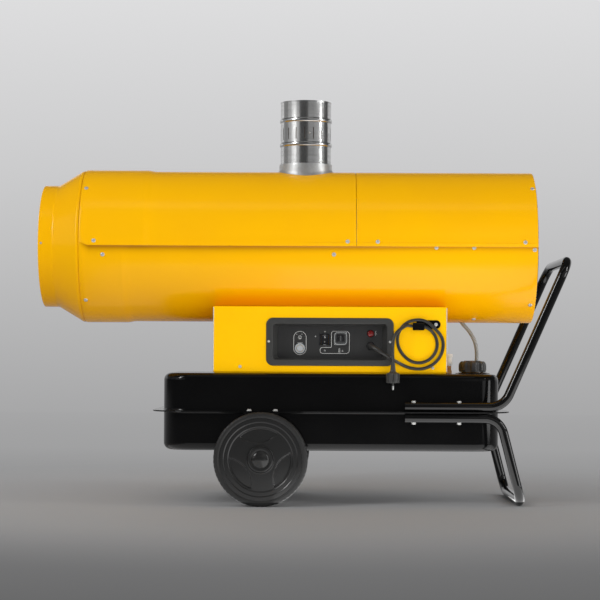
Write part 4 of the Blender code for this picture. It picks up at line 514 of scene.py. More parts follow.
def dust_group():
    """A thin veil of dust: noise patches where the surface faces up."""
    group, given, out = new_group("dust", [("Vector", vector, None),
                                           ("Amount", number, 0.2)], [("Mask", number)])
    upward = add_math(group, "MULTIPLY", facing_height(group), 0.9, clamp=True)
    patches = add_noise(group, given["Vector"], 30, 5, 0.65)
    patches = add_math(group, "SUBTRACT", patches, 0.38, clamp=True)
    both = add_math(group, "MULTIPLY", upward, patches)
    group.links.new(add_math(group, "MULTIPLY", both, given["Amount"]), out["Mask"])
    return group


def wear_group():
    """Fine scratches and specks: two thresholds on stretched and on even noise."""
    group, given, out = new_group("wear", [("Vector", vector, None),
                                           ("Scale", number, 60.0), ("Amount", number, 0.1)],
                                  [("Mask", number)])
    stretch = group.nodes.new("ShaderNodeMapping")
    stretch.inputs["Scale"].default_value = (0.12, 1, 1)
    stretch.inputs["Rotation"].default_value = (0.3, 0.2, 0.5)
    group.links.new(given["Vector"], stretch.inputs["Vector"])
    lines = add_noise(group, stretch.outputs[0], given["Scale"], 6, 0.7)
    lines = add_math(group, "GREATER_THAN", lines, 0.68)
    specks = add_noise(group, given["Vector"], given["Scale"], 2, 0.5)
    specks = add_math(group, "SUBTRACT", specks, 0.45, clamp=True)
    mask = add_math(group, "MULTIPLY", lines, specks)
    group.links.new(add_math(group, "MULTIPLY", mask, given["Amount"], clamp=True), out["Mask"])
    return group


def brushed_group():
    """Rolled and brushed metal: noise drawn out along one direction."""
    group, given, out = new_group("brushed", [("Vector", vector, None),
                                              ("Stretch", vector, None)],
                                  [("Height", number), ("Tone", number)])
    stretch = group.nodes.new("ShaderNodeMapping")
    group.links.new(given["Vector"], stretch.inputs["Vector"])
    group.links.new(given["Stretch"], stretch.inputs["Scale"])
    group.links.new(add_noise(group, stretch.outputs[0], 900, 3, 0.6), out["Height"])
    group.links.new(add_noise(group, stretch.outputs[0], 120, 4, 0.6), out["Tone"])
    return group


def painted_underside_group():
    """Where the surface faces down, none at level and full straight down: the mask for painted shade
    and painted reflection on undersides.
    """
    group, _, out = new_group("underside", [("Vector", vector, None)], [("Mask", number)])
    down = add_math(group, "SUBTRACT", -0.12, facing_height(group))
    group.links.new(add_math(group, "MULTIPLY", down, 0.8, clamp=True), out["Mask"])
    return group


groups = {"grain": grain_group(), "dust": dust_group(), "wear": wear_group(),
          "brushed": brushed_group(), "underside": painted_underside_group()}


def add_group(tree, name, vector, **values):
    """Places a shared effect; its numbers are set on its own sockets."""
    node = tree.nodes.new("ShaderNodeGroup")
    node.node_tree = groups[name]
    tree.links.new(vector, node.inputs["Vector"])
    for label, value in values.items():
        node.inputs[label.replace("_", " ")].default_value = value
    return node.outputs


def mix_colour(tree, factor, first, second):
    """A mix of two colours, each a tuple or a socket."""
    node = tree.nodes.new("ShaderNodeMix")
    node.data_type = "RGBA"
    tree.links.new(factor, node.inputs["Factor"])
    for socket, value in ((node.inputs[6], first), (node.inputs[7], second)):
        if isinstance(value, tuple):
            socket.default_value = (*value, 1)
        else:
            tree.links.new(value, socket)
    return node.outputs[2]


def add_range(tree, value, low, high, to_low=0, to_high=1, smooth=False):
    """Maps a value from one range to another, evenly or as an S."""
    node = tree.nodes.new("ShaderNodeMapRange")
    if smooth:
        node.interpolation_type = "SMOOTHSTEP"
    limits = {"From Min": low, "From Max": high, "To Min": to_low, "To Max": to_high}
    for label, limit in limits.items():
        node.inputs[label].default_value = limit
    tree.links.new(value, node.inputs["Value"])
    return node.outputs[0]


def spread(tree, value, low, high):
    """Maps a noise value, mostly 0.3 to 0.7, to a range."""
    return add_range(tree, value, 0.3, 0.7, low, high)


def new_material(name):
    """A new material and its node tree."""
    shade = bpy.data.materials.new(name)
    shade.use_nodes = True
    return shade, shade.node_tree


def grey(level):
    """A colour with the same value in each channel."""
    return level, level, level


def finish(name, colour, deep, rough, metallic=0.0, fine=900.0, coarse=9.0, bump=0.00004, dust=0.25,
           dust_colour=(0.45, 0.42, 0.37), wear=0.0, worn=grey(0.5), coat=0.0, ior=1.5,
           stretch=None, specular=0.5, painted_under=None, seam=None):
    """A painted, moulded or rolled surface.

    The colour wanders between two close tones, roughness follows the same tone, dust lightens
    what faces up, scratches show a second colour, and the grain is a bump. What faces down takes
    a second colour, painted shade or a painted reflection, and a point attribute brings in a seam
    colour, a painted shadow.
    """
    shade, tree = new_material(name)
    shader = tree.nodes["Principled BSDF"]
    settings = {"Metallic": metallic, "IOR": ior, "Specular IOR Level": specular,
                "Coat Weight": coat, "Coat Roughness": 0.06}
    for label, value in settings.items():
        shader.inputs[label].default_value = value
    place = tree.nodes.new("ShaderNodeTexCoord").outputs["Object"]
    if stretch:
        grain = add_group(tree, "brushed", place, Stretch=stretch)
    else:
        grain = add_group(tree, "grain", place, Fine_Scale=fine, Coarse_Scale=coarse)
    tone = spread(tree, grain["Tone"], 0, 1)
    base = mix_colour(tree, tone, colour, deep)
    # The seam colour is a painted shadow below the covers' edges.
    if seam:
        mark = tree.nodes.new("ShaderNodeAttribute")
        mark.attribute_name = "seam_painted_shadow"
        base = mix_colour(tree, mark.outputs["Fac"], base, seam)
    # What faces down takes a second colour: painted shade on the yellow, a painted floor reflection on
    # the tank.
    if painted_under:
        base = mix_colour(tree, add_group(tree, "underside", place)["Mask"], base, painted_under)
    if wear:
        base = mix_colour(tree, add_group(tree, "wear", place, Amount=wear)["Mask"], base, worn)
    veil = add_group(tree, "dust", place, Amount=dust)["Mask"]
    tree.links.new(mix_colour(tree, veil, base, dust_colour), shader.inputs["Base Color"])
    tree.links.new(add_math(tree, "ADD", spread(tree, grain["Tone"], rough[0], rough[1]), veil),
                   shader.inputs["Roughness"])
    relief = tree.nodes.new("ShaderNodeBump")
    relief.inputs["Strength"].default_value = 1
    relief.inputs["Distance"].default_value = bump
    tree.links.new(grain["Height"], relief.inputs["Height"])
    tree.links.new(relief.outputs[0], shader.inputs["Normal"])
    return shade


def braided(name, colour, deep):
    """A braided hose: two crossing wave patterns along the hose make the strands' bump and tone."""
    shade = finish(name, colour, deep, (0.3, 0.42), fine=600, bump=0.00005, dust=0.1)
    tree = shade.node_tree
    shader = tree.nodes["Principled BSDF"]
    place = tree.nodes.new("ShaderNodeTexCoord").outputs["Object"]
    waves = []
    for tilt in (0.9, -0.9):
        turn = tree.nodes.new("ShaderNodeMapping")
        turn.inputs["Rotation"].default_value = (0, tilt, 0)
        tree.links.new(place, turn.inputs["Vector"])
        wave = tree.nodes.new("ShaderNodeTexWave")
        wave.inputs["Scale"].default_value = 140
        tree.links.new(turn.outputs[0], wave.inputs["Vector"])
        waves.append(wave.outputs[1])
    strands = add_math(tree, "MULTIPLY", waves[0], waves[1])
    relief = tree.nodes.new("ShaderNodeBump")
    relief.inputs["Distance"].default_value = 0.0004
    tree.links.new(strands, relief.inputs["Height"])
    tree.links.new(relief.outputs[0], shader.inputs["Normal"])
    old = shader.inputs["Base Color"].links[0].from_socket
    tree.links.new(mix_colour(tree, strands, old, colour), shader.inputs["Base Color"])
    return shade


yellow_look = {"fine": 420, "coarse": 5, "bump": 0.00002, "dust": 0.02,
               "dust_colour": (0.85, 0.50, 0.06), "coat": 0.05}
casing_tones = (0.930, 0.468, 0.0), (0.905, 0.445, 0.0), (0.17, 0.24)
# The casing's yellow is painted deeper where it faces down: painted shade.
casing_painted_shade = (0.89, 0.395, 0.0)
yellow = finish("yellow_paint", *casing_tones, specular=0.17, painted_under=casing_painted_shade, **yellow_look)
# The trough's yellow darkens below the covers' edges: a painted shadow.
trough_yellow = finish("trough_yellow_paint", *casing_tones, specular=0.17, painted_under=casing_painted_shade,
                       seam=(0.30, 0.100, 0.0), **yellow_look)
# A paler copy of the casing's yellow for the box: painted light, for the stronger light its front face
# takes.
box_yellow = finish("box_yellow_paint", (0.930, 0.505, 0.0), (0.910, 0.485, 0.0), (0.19, 0.26),
                    specular=0.12, **yellow_look)
black_tones = (0.0022, 0.0022, 0.0023), (0.0030, 0.0030, 0.0031), (0.07, 0.11)
black_look = {"fine": 420, "coarse": 7, "bump": 0.00001, "dust": 0.03,
              "dust_colour": (0.12, 0.115, 0.105)}
black_gloss = finish("black_gloss_paint", *black_tones, coat=0.1, specular=0.4, **black_look)
# The tank's paint turns paler where it faces down: a painted reflection of the pale floor.
tank_gloss = finish("tank_gloss_paint", *black_tones, specular=0.2, painted_under=grey(0.030),
                    **black_look)
panel_plastic = finish("panel_plastic", (0.036, 0.036, 0.034), (0.030, 0.030, 0.029), (0.40, 0.52),
                       fine=1500, bump=0.00005, dust=0.08)
recess_plastic = finish("recess_plastic", grey(0.022), grey(0.018), (0.45, 0.55),
                        fine=1500, bump=0.00005, dust=0.08)
switch_plastic = finish("switch_plastic", (0.012, 0.012, 0.013), (0.009, 0.009, 0.010), (0.22, 0.32),
                        fine=1200, bump=0.00002, dust=0.08)
wheel_plastic = finish("wheel_plastic", grey(0.0130), grey(0.0110),
                       (0.13, 0.19), fine=1100, bump=0.00001, dust=0.12, specular=0.4)
tyre_rubber = finish("tyre_rubber", grey(0.016), grey(0.013), (0.40, 0.50),
                     fine=800, bump=0.00006, dust=0.15, specular=0.3)
cord_rubber = finish("cord_rubber", (0.024, 0.024, 0.023), (0.018, 0.018, 0.017), (0.30, 0.40),
                     fine=1400, bump=0.00003, dust=0.12)
plug_rubber = finish("plug_rubber", (0.036, 0.036, 0.035), (0.028, 0.028, 0.027), (0.30, 0.40),
                     fine=1400, bump=0.00004, dust=0.12)
cap_plastic = finish("cap_plastic", grey(0.040), grey(0.030), (0.30, 0.4),
                     fine=1300, bump=0.00004, dust=0.18)
clear_grey = finish("clear_grey_plastic", (0.40, 0.41, 0.41), (0.34, 0.35, 0.35), (0.14, 0.22),
                    fine=600, bump=0.00002, dust=0.05, coat=0.4)
smoke_grey = finish("smoke_grey_plastic", (0.075, 0.077, 0.078), (0.058, 0.060, 0.061), (0.18, 0.28),
                    fine=600, bump=0.00002, dust=0.08, coat=0.3)
white_plastic = finish("white_plastic", (0.78, 0.78, 0.75), (0.72, 0.72, 0.69), (0.28, 0.38),
                       fine=900, bump=0.00002, dust=0.1)
white_print = finish("white_print", (0.74, 0.74, 0.72), (0.66, 0.66, 0.64), (0.5, 0.6), fine=2500,
                     bump=0.00001, dust=0.05)
red_lens = finish("red_lens", (0.19, 0.006, 0.006), (0.14, 0.004, 0.004), (0.08, 0.14), fine=500,
                  bump=0.00001, dust=0.03, coat=0.6)
stainless = finish("stainless_steel", (0.66, 0.66, 0.655), (0.56, 0.56, 0.555), (0.17, 0.24), 1.0,
                   bump=0.000004, dust=0.03, stretch=(0.06, 0.06, 1.2))
galvanised = finish("galvanised_steel", (0.62, 0.63, 0.63), (0.48, 0.49, 0.50), (0.34, 0.46), 0.8,
                    fine=500, coarse=60, bump=0.00002, dust=0.08)
bright_steel = finish("bright_steel", (0.78, 0.78, 0.77), (0.66, 0.66, 0.65), (0.30, 0.42), 1.0,
                      fine=900, coarse=80, bump=0.00002, dust=0.05)
zinc_screw = finish("zinc_screw", (0.72, 0.72, 0.70), (0.52, 0.52, 0.50), (0.24, 0.36), 0.45, fine=900,
                    coarse=300, bump=0.00002, dust=0.05)
heat_steel = finish("heat_resisting_steel", (0.34, 0.32, 0.30), (0.22, 0.19, 0.17), (0.38, 0.55), 1.0,
                    fine=300, coarse=14, bump=0.00006, dust=0.1)
brass = finish("brass", (0.72, 0.42, 0.17), (0.60, 0.34, 0.13), (0.24, 0.34), 0.6, fine=700,
               coarse=60, bump=0.00002, dust=0.05)
cast_alloy = finish("cast_alloy", (0.42, 0.42, 0.43), (0.32, 0.32, 0.33), (0.42, 0.55), 1.0,
                    fine=600, coarse=40, bump=0.00012, dust=0.1)
motor_paint = finish("motor_grey_paint", (0.16, 0.17, 0.18), (0.13, 0.14, 0.15), (0.38, 0.5),
                     fine=500, coarse=12, bump=0.00006, dust=0.2)
strainer_mesh = finish("strainer_mesh", grey(0.45), grey(0.25), (0.3, 0.45), 1.0,
                       fine=1600, coarse=900, bump=0.0002, dust=0.05)
hose_braid = braided("hose_braid", (0.36, 0.37, 0.36), (0.22, 0.23, 0.22))


# Mains cord: the route is the part's own

cord_radius = 0.0045
coil_centre = (0.3290, 0.4575)
cord_on_box = -0.2055
cord_on_strap = -0.2085
plug_place = (0.2545, -0.2475, 0.3475)


def smooth_route(points, spacing):
    """Catmull-Rom curve through the inner points; the first and last stretch stay straight."""
    route = np.array(points, float)
    share = np.linspace(0, 1, 24, endpoint=False)[:, None]
    stretches = []
    for place in range(1, len(route) - 2):
        a, b, c, d = route[place - 1:place + 3]
        stretches.append(0.5 * (2 * b + (c - a) * share + (2 * a - 5 * b + 4 * c - d) * share ** 2
                                + (3 * b - a - 3 * c + d) * share ** 3))
    dense = np.concatenate([route[:1], *stretches, route[-2:]])
    travelled = np.concatenate([[0], np.cumsum(np.linalg.norm(np.diff(dense, axis=0), axis=1))])
    count = max(2, round(travelled[-1] / spacing))
    wanted = np.linspace(0, travelled[-1], count + 1)
    return np.stack([np.interp(wanted, travelled, dense[:, axis]) for axis in range(3)], -1)


def coil_points(degrees):
    """The hung loops: a circle that draws in, is dented at the strap, and steps out over it."""
    draw = smooth_step((degrees - 110) / 120)
    radius = 0.0700 - 0.0175 * draw - 0.0060 * np.exp(-((degrees - 45) / 24) ** 2)
    table = ((-100, cord_on_box), (15, cord_on_box), (35, cord_on_strap), (105, cord_on_strap),
             (130, cord_on_box), (395, cord_on_box), (412, cord_on_strap - 0.0006),
             (460, cord_on_strap - 0.0006))
    depth = np.full(len(degrees), cord_on_box)
    for (low, first), (high, second) in zip(table, table[1:]):
        inside = (degrees >= low) & (degrees <= high)
        step = smooth_step((degrees[inside] - low) / (high - low))
        depth[inside] = first + (second - first) * step
    angle = np.radians(degrees)
    return np.stack([coil_centre[0] + radius * np.cos(angle), depth,
                     coil_centre[1] + radius * np.sin(angle)], -1)


def cord_route():
    """The whole cord: from the gland to the loops, round them, and down to the plug."""
    loops = coil_points(np.linspace(-100, 455, 223))
    into = loops[1] - loops[0]
    into /= np.linalg.norm(into)
    out_of = loops[-1] - loops[-2]
    out_of /= np.linalg.norm(out_of)
    lead = [(0.1926, -0.1883, 0.4521), (0.1926, -0.1983, 0.4521), (0.1985, -0.2150, 0.4485),
            (0.2130, -0.2285, 0.4395), (0.2300, -0.2310, 0.4290), (0.2480, -0.2265, 0.4180),
            (0.2680, -0.2150, 0.4065), (0.2880, -0.2070, 0.3965), loops[0] - into * 0.012, loops[0]]
    tail = [loops[-1], loops[-1] + out_of * 0.012, (0.2960, -0.2140, 0.5110),
            (0.2840, -0.2190, 0.5050), (0.2720, -0.2230, 0.4970), (0.2625, -0.2260, 0.4865),
            (0.2570, -0.2290, 0.4730), (0.2545, -0.2330, 0.4550), (0.2540, -0.2380, 0.4315),
            (0.2545, -0.2440, 0.4150), (0.2545, -0.2475, 0.3998), (0.2545, -0.2475, 0.3898)]
    return np.concatenate([smooth_route(lead, 0.004)[:-1], loops, smooth_route(tail, 0.004)[1:]])


def make_cord(plug):
    """The cord is one open curve with a round section."""
    route = cord_route()
    data = bpy.data.curves.new("mains_cord", "CURVE")
    data.dimensions = "3D"
    spline = data.splines.new("POLY")
    spline.points.add(len(route) - 1)
    spline.points.foreach_set("co", np.concatenate([route, np.ones((len(route), 1))], 1).ravel())
    data.bevel_depth = cord_radius
    data.bevel_resolution = 5
    data.use_fill_caps = True
    data.materials.append(cord_rubber)
    cord = bpy.data.objects.new("mains_cord", data)
    bpy.context.scene.collection.objects.link(cord)
    spline.use_smooth = True
    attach(cord, "chassis")
    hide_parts("cord_lead", "cord_coil", "cord_tail")


def make_plug():
    """Round plug, face down: radius by height, less eight finger grooves; two pins below."""
    rows = np.array([[0, 0], [0, 0.0182], [0.0010, 0.0194], [0.0050, 0.0198], [0.0070, 0.0198],
                     [0.0250, 0.0197], [0.0266, 0.0190], [0.0276, 0.0172], [0.0286, 0.0142],
                     [0.0300, 0.0112], [0.0325, 0.0088], [0.0365, 0.0075], [0.0420, 0.0069],
                     [0.0580, 0.0058], [0.0580, 0.0030]])
    groove = smooth_step((rows[:, 0] - 0.003) / 0.003) * smooth_step((0.0285 - rows[:, 0]) / 0.003)
    angle = turn_steps(128)
    fluting = 0.0034 * (1 - smooth_step(abs(np.sin(4 * angle)) / 0.55))
    radius = rows[:, 1:] - groove[:, None] * fluting
    grid = rings(rows[:, :1], radius, angle, "Z", plug_place)
    parts = [(skin(grid, ends=False), plug_rubber)]
    for side in (-1, 1):
        pin = [(-0.0190, 0), (-0.0190, 0.0014), (-0.0178, 0.0024), (-0.0080, 0.0024), (-0.0080, 0)]
        sleeve = [(-0.0080, 0), (-0.0080, 0.0023), (0.0010, 0.0023), (0.0010, 0)]
        middle = (plug_place[0], plug_place[1] + side * 0.0095, plug_place[2])
        for profile, finish_of in ((pin, bright_steel), (sleeve, plug_rubber)):
            parts.append((turned(profile, "Z", middle, 24, closed=False), finish_of))
    return make_piece("plug_body", parts, "chassis", ["mains_plug"])


# Barrel pieces


def band_step(x, end=cover_band_end):
    """The casing's front band stands proud and steps down over the joggle."""
    return band_rise * (1 - smooth_step((x - end) / band_joggle))


def seam_edge(x):
    """Angle below the horizontal of the covers' long edges; at the front they slope up."""
    front = 1 - smooth_step((x - casing_front - 0.004) / 0.022)
    return np.arcsin((seam_drop - 0.0075 * front) / cover_radius)


def seam_flare(x):
    """How far the covers' edges stand off the trough: less at the front corner and at the rear."""
    return lip_flare * smooth_step((x - casing_front) / 0.02) * (1 - 0.3 * smooth_step((x - 0.1) / 0.4))


def around_barrel(x, radius, angle):
    """Points on the barrel; the angle runs from +Y over the top to -Y."""
    x, radius, angle = np.broadcast_arrays(x, radius, angle)
    return np.stack([x, radius * np.cos(angle), axis_height + radius * np.sin(angle)], -1)


def casing_stations(low, high):
    """Places along the barrel, closer together at the joggle, round the flue and at the ends."""
    places = [np.linspace(low, high, 90)]
    places += [np.linspace(end - 0.003, end + band_joggle, 9)
               for end in (cover_band_end, trough_band_end)]
    places.append(np.linspace(flue_place - 0.084, flue_place + 0.084, 57))
    places += [low + np.array([0.0006, 0.0015]), high - np.array([0.0006, 0.0015])]
    places = np.unique(np.round(np.concatenate(places), 5))
    return places[(places >= low) & (places <= high)]


def curled(x, low, high):
    """How far the sheet's own end edges are rounded inwards."""
    reach = np.minimum(x - low, high - x)
    return 0.0007 * (1 - smooth_step(reach / 0.0015))


def make_lower_casing():
    """The trough: a half cylinder, with a small hollow shoulder below the covers' edges.

    Its point attribute, a painted shadow below the covers' edges, fades with the distance below them.
    """
    x = casing_stations(casing_front, casing_rear)[:, None]
    below = np.array([-0.0050, -0.0006, -0.0003, 0.0004, 0.0015, 0.0028, 0.0045, 0.0065, 0.0090,
                      0.0120, 0.0160, 0.0210])
    edge = seam_edge(x)
    share = below / cover_radius / (math.pi - 2 * edge)
    middle = np.linspace(0, 1, 112)[1:-1] * (1 - 2 * share[:, -1:]) + share[:, -1:]
    share = np.concatenate([share, middle, 1 - share[:, ::-1]], 1)
    angle = math.pi + edge + (math.pi - 2 * edge) * share
    distance = np.minimum(share, 1 - share) * (math.pi - 2 * edge) * cover_radius
    fall = np.exp(-np.maximum(distance, 0) / 0.0040)
    shoulder = np.where(distance < -0.0004, 0, seam_flare(x) - 0.0012) * fall
    radius = casing_radius + band_step(x, trough_band_end)
    radius = radius - curled(x, casing_front, casing_rear) + shoulder
    shape = skin(around_barrel(x, radius, angle), wrap_columns=False, ends=False)
    trough = make_piece("casing_trough", [(shape, trough_yellow)], "chassis",
                        ["casing_lower"], facing=((0, 1, 1), (0, 0, axis_height)), wall=casing_sheet)
    # A painted shadow under the covers' edges: it fades in at the front end, weakens and shortens
    # towards the rear, and fades with the distance below.
    place = np.zeros(len(trough.data.vertices) * 3)
    trough.data.vertices.foreach_get("co", place)
    x, _, z = place.reshape(-1, 3).T
    below = cover_radius * (-np.arcsin(np.clip((z - axis_height) / cover_radius, -1, 1)) - seam_edge(x))
    depth = (1.0 - 0.35 * smooth_step((x - 0.1) / 0.4)) * smooth_step((x - casing_front - 0.005) / 0.02)
    reach = 0.0122 - 0.0032 * smooth_step((x + 0.3) / 0.6)
    shadow_weight = trough.data.attributes.new("seam_painted_shadow", "FLOAT", "POINT")
    shadow_weight.data.foreach_set("value", depth * np.exp(-(np.maximum(below, 0) / reach) ** 1.3))


def make_cover(name, node, low, high):
    """An upper cover: a half cylinder whose long edges flare out over the trough."""
    x = casing_stations(low, high)[:, None]
    edge = seam_edge(x)
    near_edge = np.array([0, 0.0003, 0.0008, 0.0016, 0.004, 0.007, 0.0096, 0.0104, 0.0112, 0.0130,
                          0.016, 0.019, 0.025, 0.032])
    share = near_edge / (cover_radius * math.pi)
    share = np.concatenate([share, np.linspace(share[-1], 1 - share[-1], 120)[1:-1],
                            (1 - share)[::-1]])[None]
    angle = -edge + (math.pi + 2 * edge) * share
    distance = np.minimum(share, 1 - share) * (math.pi + 2 * edge) * cover_radius
    lip = seam_flare(x) * (1 - smooth_step(distance / 0.032))
    lip = lip - 0.0009 * (1 - smooth_step(distance / 0.0009))
    hem = 0.0009 * (1 - smooth_step((distance - 0.0098) / 0.0012))
    lip = lip + hem * smooth_step((x + 0.05) / 0.12)
    radius = cover_radius + band_step(x) + lip - curled(x, low, high)
    points = around_barrel(x, radius, angle)
    shape = skin(points, wrap_columns=False, ends=False)
    middle = points.reshape(-1, 3)[shape[1]].mean(1)
    from_flue = np.hypot(middle[:, 0] - flue_place, middle[:, 1])
    quads = shape[1][(from_flue > 0.0775) | (middle[:, 2] < axis_height)]
    make_piece(name, [((shape[0], quads, []), yellow)], "chassis", [node],
               facing=((0, 1, 1), (0, 0, axis_height)), wall=casing_sheet)


def make_cone():
    """Hose collar and cone, turned from one sheet: rounded bends, rolled mouth edge."""
    outer = filleted([(-0.7600, 0.1790), (-0.7225, 0.1790), (-0.6500, 0.2226), (-0.6434, 0.2226)],
                     [0, 0.016, 0.008, 0], 8)
    outer = [(-0.7630, 0.1772), (-0.7640, 0.1780), (-0.7636, 0.1789), (-0.7620, 0.1793),
             *map(tuple, outer), (-0.6431, 0.2220), (-0.6430, 0.2209), (-0.6190, 0.2209)]
    inner = [(-0.6190, 0.2197), (-0.6440, 0.2197), (-0.7200, 0.1775), (-0.7600, 0.1775)]
    shape = turned(outer + inner, "X", (0, 0, axis_height), 192)
    make_piece("cone_and_collar", [(shape, yellow)], "chassis", ["outlet_cone"],
               crease=28)


def make_inner_drum():
    """Chamber and drum as seen through the collar: domed can inside a hollow drum."""
    tilt = np.linspace(math.pi / 2, 0, 14)
    dome = [(-0.345 - 0.045 * math.sin(t), 0.145 * math.cos(t)) for t in tilt]
    dome[0] = (-0.390, 0)
    can = dome + [(0.170, 0.145), (0.170, 0.0532), (0.168, 0.0532), (0.168, 0.143), (-0.343, 0.143),
                  (-0.386, 0.0)]
    centre = (0, 0, axis_height)
    make_piece("chamber_can", [(turned(can, "X", centre, 128, closed=False), heat_steel)], "chassis",
               ["combustion_chamber"])
    drum = [(-0.395, 0.1453), (-0.395, 0.186), (-0.3935, 0.188), (-0.360, 0.188), (-0.357, 0.1892),
            (-0.354, 0.188), (0.099, 0.188), (0.102, 0.1892), (0.105, 0.188), (0.1385, 0.188),
            (0.140, 0.186), (0.140, 0.160), (-0.335, 0.160), (-0.335, 0.1453)]
    make_piece("drum_shell", [(turned(drum, "X", centre, 128), heat_steel)], "chassis",
               ["heat_exchanger"])
    blast = [(0.1703, 0.0532), (0.1703, 0.082), (0.1743, 0.082), (0.1743, 0.055), (0.3543, 0.055),
             (0.3553, 0.0545), (0.3553, 0.0532)]
    make_piece("blast_tube", [(turned(blast, "X", centre, 96), heat_steel)], "chassis",
               ["burner_tube"])


def make_flue():
    """Stack pipe: radius by height with two round beads, a lock seam, and a ring of real slots."""
    slots = 18
    pitch = full_turn / slots
    half_slot = 0.0015 / flue_radius
    turn = math.radians(-2.2) - math.pi / 2
    local = np.concatenate([half_slot * np.array([-1.5, -1, -0.5, 0.5, 1, 1.5]),
                            pitch * np.array([0.3, 0.5, 0.7])])
    angle = (np.arange(slots)[:, None] * pitch + local).ravel() + turn
    seam = math.radians(-48)
    angle = np.sort(np.concatenate([angle, seam + np.array([-0.028, -0.018, 0.018, 0.028])]))
    height = [0.945, 0.948, 0.990, 1.0500, slot_foot, 1.0600, 1.0904, slot_head, 1.1030, 1.1640,
              1.1700, 1.1706, 1.171]
    for bead in flue_beads:
        height += list(bead - bead_reach * np.cos(np.linspace(0, math.pi, 13)))
        height += [bead - 0.0072, bead + 0.0072]
    height = np.unique(np.round(height, 5))
    bulge = sum(0.0026 * np.sqrt(np.clip(1 - ((height - bead) / bead_reach) ** 2, 0, 1))
                for bead in flue_beads)
    bulge = bulge + 0.0009 * smooth_step((height - 1.1690) / 0.0012)
    ridge = 0.0010 * (abs(np.angle(np.exp(1j * (angle - seam)))) < 0.02)
    radius = flue_radius + bulge[:, None] + ridge[None]
    centre = (flue_place, 0, 0)
    points, quads, _ = skin(rings(height[:, None], radius, angle, "Z", centre), ends=False)
    middle = points[quads].mean(1)
    around = np.arctan2(middle[:, 1], middle[:, 0] - flue_place) - turn
    off_slot = abs((around / pitch + 0.5) % 1 - 0.5) * pitch
    slotted = (off_slot < half_slot) & (middle[:, 2] > slot_foot) & (middle[:, 2] < slot_head)
    shape = (points, quads[~slotted], [])
    make_piece("stack_pipe", [(shape, stainless)], "chassis", ["flue_pipe"],
               facing=((1, 1, 0), centre), wall=pipe_sheet)
    # A dark sleeve behind the slots so that they read dark: painted shade.
    sleeve = [(1.0500, 0.0729), (1.1000, 0.0729), (1.1000, 0.0723), (1.0500, 0.0723)]
    make_piece("slot_shade_sleeve", [(turned(sleeve, "Z", centre, 96), heat_steel)], "chassis")
    way = np.array([math.sin(0.16), -math.cos(0.16), 0])
    spot = (flue_place + flue_radius * way[0], flue_radius * way[1], 1.0752)
    head = placed(screw_head(0.0022, 0.0010), spot, way)
    make_piece("stack_rivet", [(head, bright_steel)], "chassis")


def saddle_height(y):
    """Height of the covers' crown at a distance from the middle plane."""
    return axis_height + np.sqrt(cover_radius ** 2 - y ** 2)


def make_flue_base():
    """Spigot and collar round the pipe; the collar's foot follows the curved casing."""
    angle = turn_steps(128)
    rows = [(0.0766, 0.010, 1), (0.0766, 0.9860, 0), (0.0772, 0.9868, 0), (0.0778, 0.9860, 0),
            (0.0778, 0.9790, 0), (0.0780, 0.0085, 1), (0.0784, 0.0040, 1), (0.0796, 0.0012, 1),
            (0.0815, 0.0006, 1), (0.0815, -0.0004, 1)]
    grid = []
    for radius, level, on_casing in rows:
        x, y = flue_place + radius * np.cos(angle), radius * np.sin(angle)
        z = saddle_height(y) + level if on_casing else np.full(len(angle), level)
        grid.append(np.stack([x, y, z], -1))
    make_piece("casing_collar", [(skin(np.array(grid), wrap_rows=True), galvanised)], "chassis",
               ["flue_collar"])
    spigot = [(0.900, 0.0748), (0.9825, 0.0748), (0.9830, 0.0755), (0.9825, 0.0763), (0.900, 0.0763)]
    make_piece("drum_spigot", [(turned(spigot, "Z", (flue_place, 0, 0), 128), galvanised)],
               "chassis", ["flue_spigot"])


def make_fan():
    """Six blades, each a cambered section that twists and widens along its span, on a hub."""
    span = np.linspace(0, 1, 14)[:, None]
    chord_share = np.linspace(0, 1, 16)
    loop = np.concatenate([chord_share, chord_share[::-1]])[None]
    face = np.concatenate([np.ones(16), -np.ones(16)])[None]
    radius = 0.0445 + (0.205 - 0.0445) * span
    chord = 0.070 + 0.042 * span
    pitch = np.radians(48 - 24 * span)
    thick = 0.0014 * np.sqrt(np.clip(1 - (2 * loop - 1) ** 8, 0.02, 1)) * face
    along = (loop - 0.5) * chord
    camber = 0.09 * chord * np.sin(math.pi * loop) + thick
    axial = along * np.sin(pitch) + camber * np.cos(pitch)
    swing = (along * np.cos(pitch) - camber * np.sin(pitch)) / radius
    blades = []
    for number in range(6):
        angle = swing + full_turn * number / 6
        grid = np.stack([fan_place + axial, radius * np.sin(angle),
                         axis_height + radius * np.cos(angle)], -1)
        blades.append(skin(grid))
    hub = [(-0.022, 0.0455), (0.018, 0.046), (0.0205, 0.0450), (0.022, 0.0425), (0.022, 0.0073),
           (-0.022, 0.0073), (-0.022, 0.016), (0.018, 0.016), (0.018, 0.042), (-0.022, 0.042)]
    centre = (fan_place, 0, axis_height)
    parts = [(joined(*blades), cast_alloy), (turned(hub, "X", centre, 96), cast_alloy)]
    make_piece("fan_wheel", parts, "fan", ["fan_rotor"])
    shaft = [(0.405, 0), (0.405, 0.0064), (0.4056, 0.007), (0.6394, 0.007), (0.640, 0.0064),
             (0.640, 0)]
    make_piece("fan_shaft", [(turned(shaft, "X", (0, 0, axis_height), 48, closed=False),
                              bright_steel)], "fan", ["motor_shaft"])


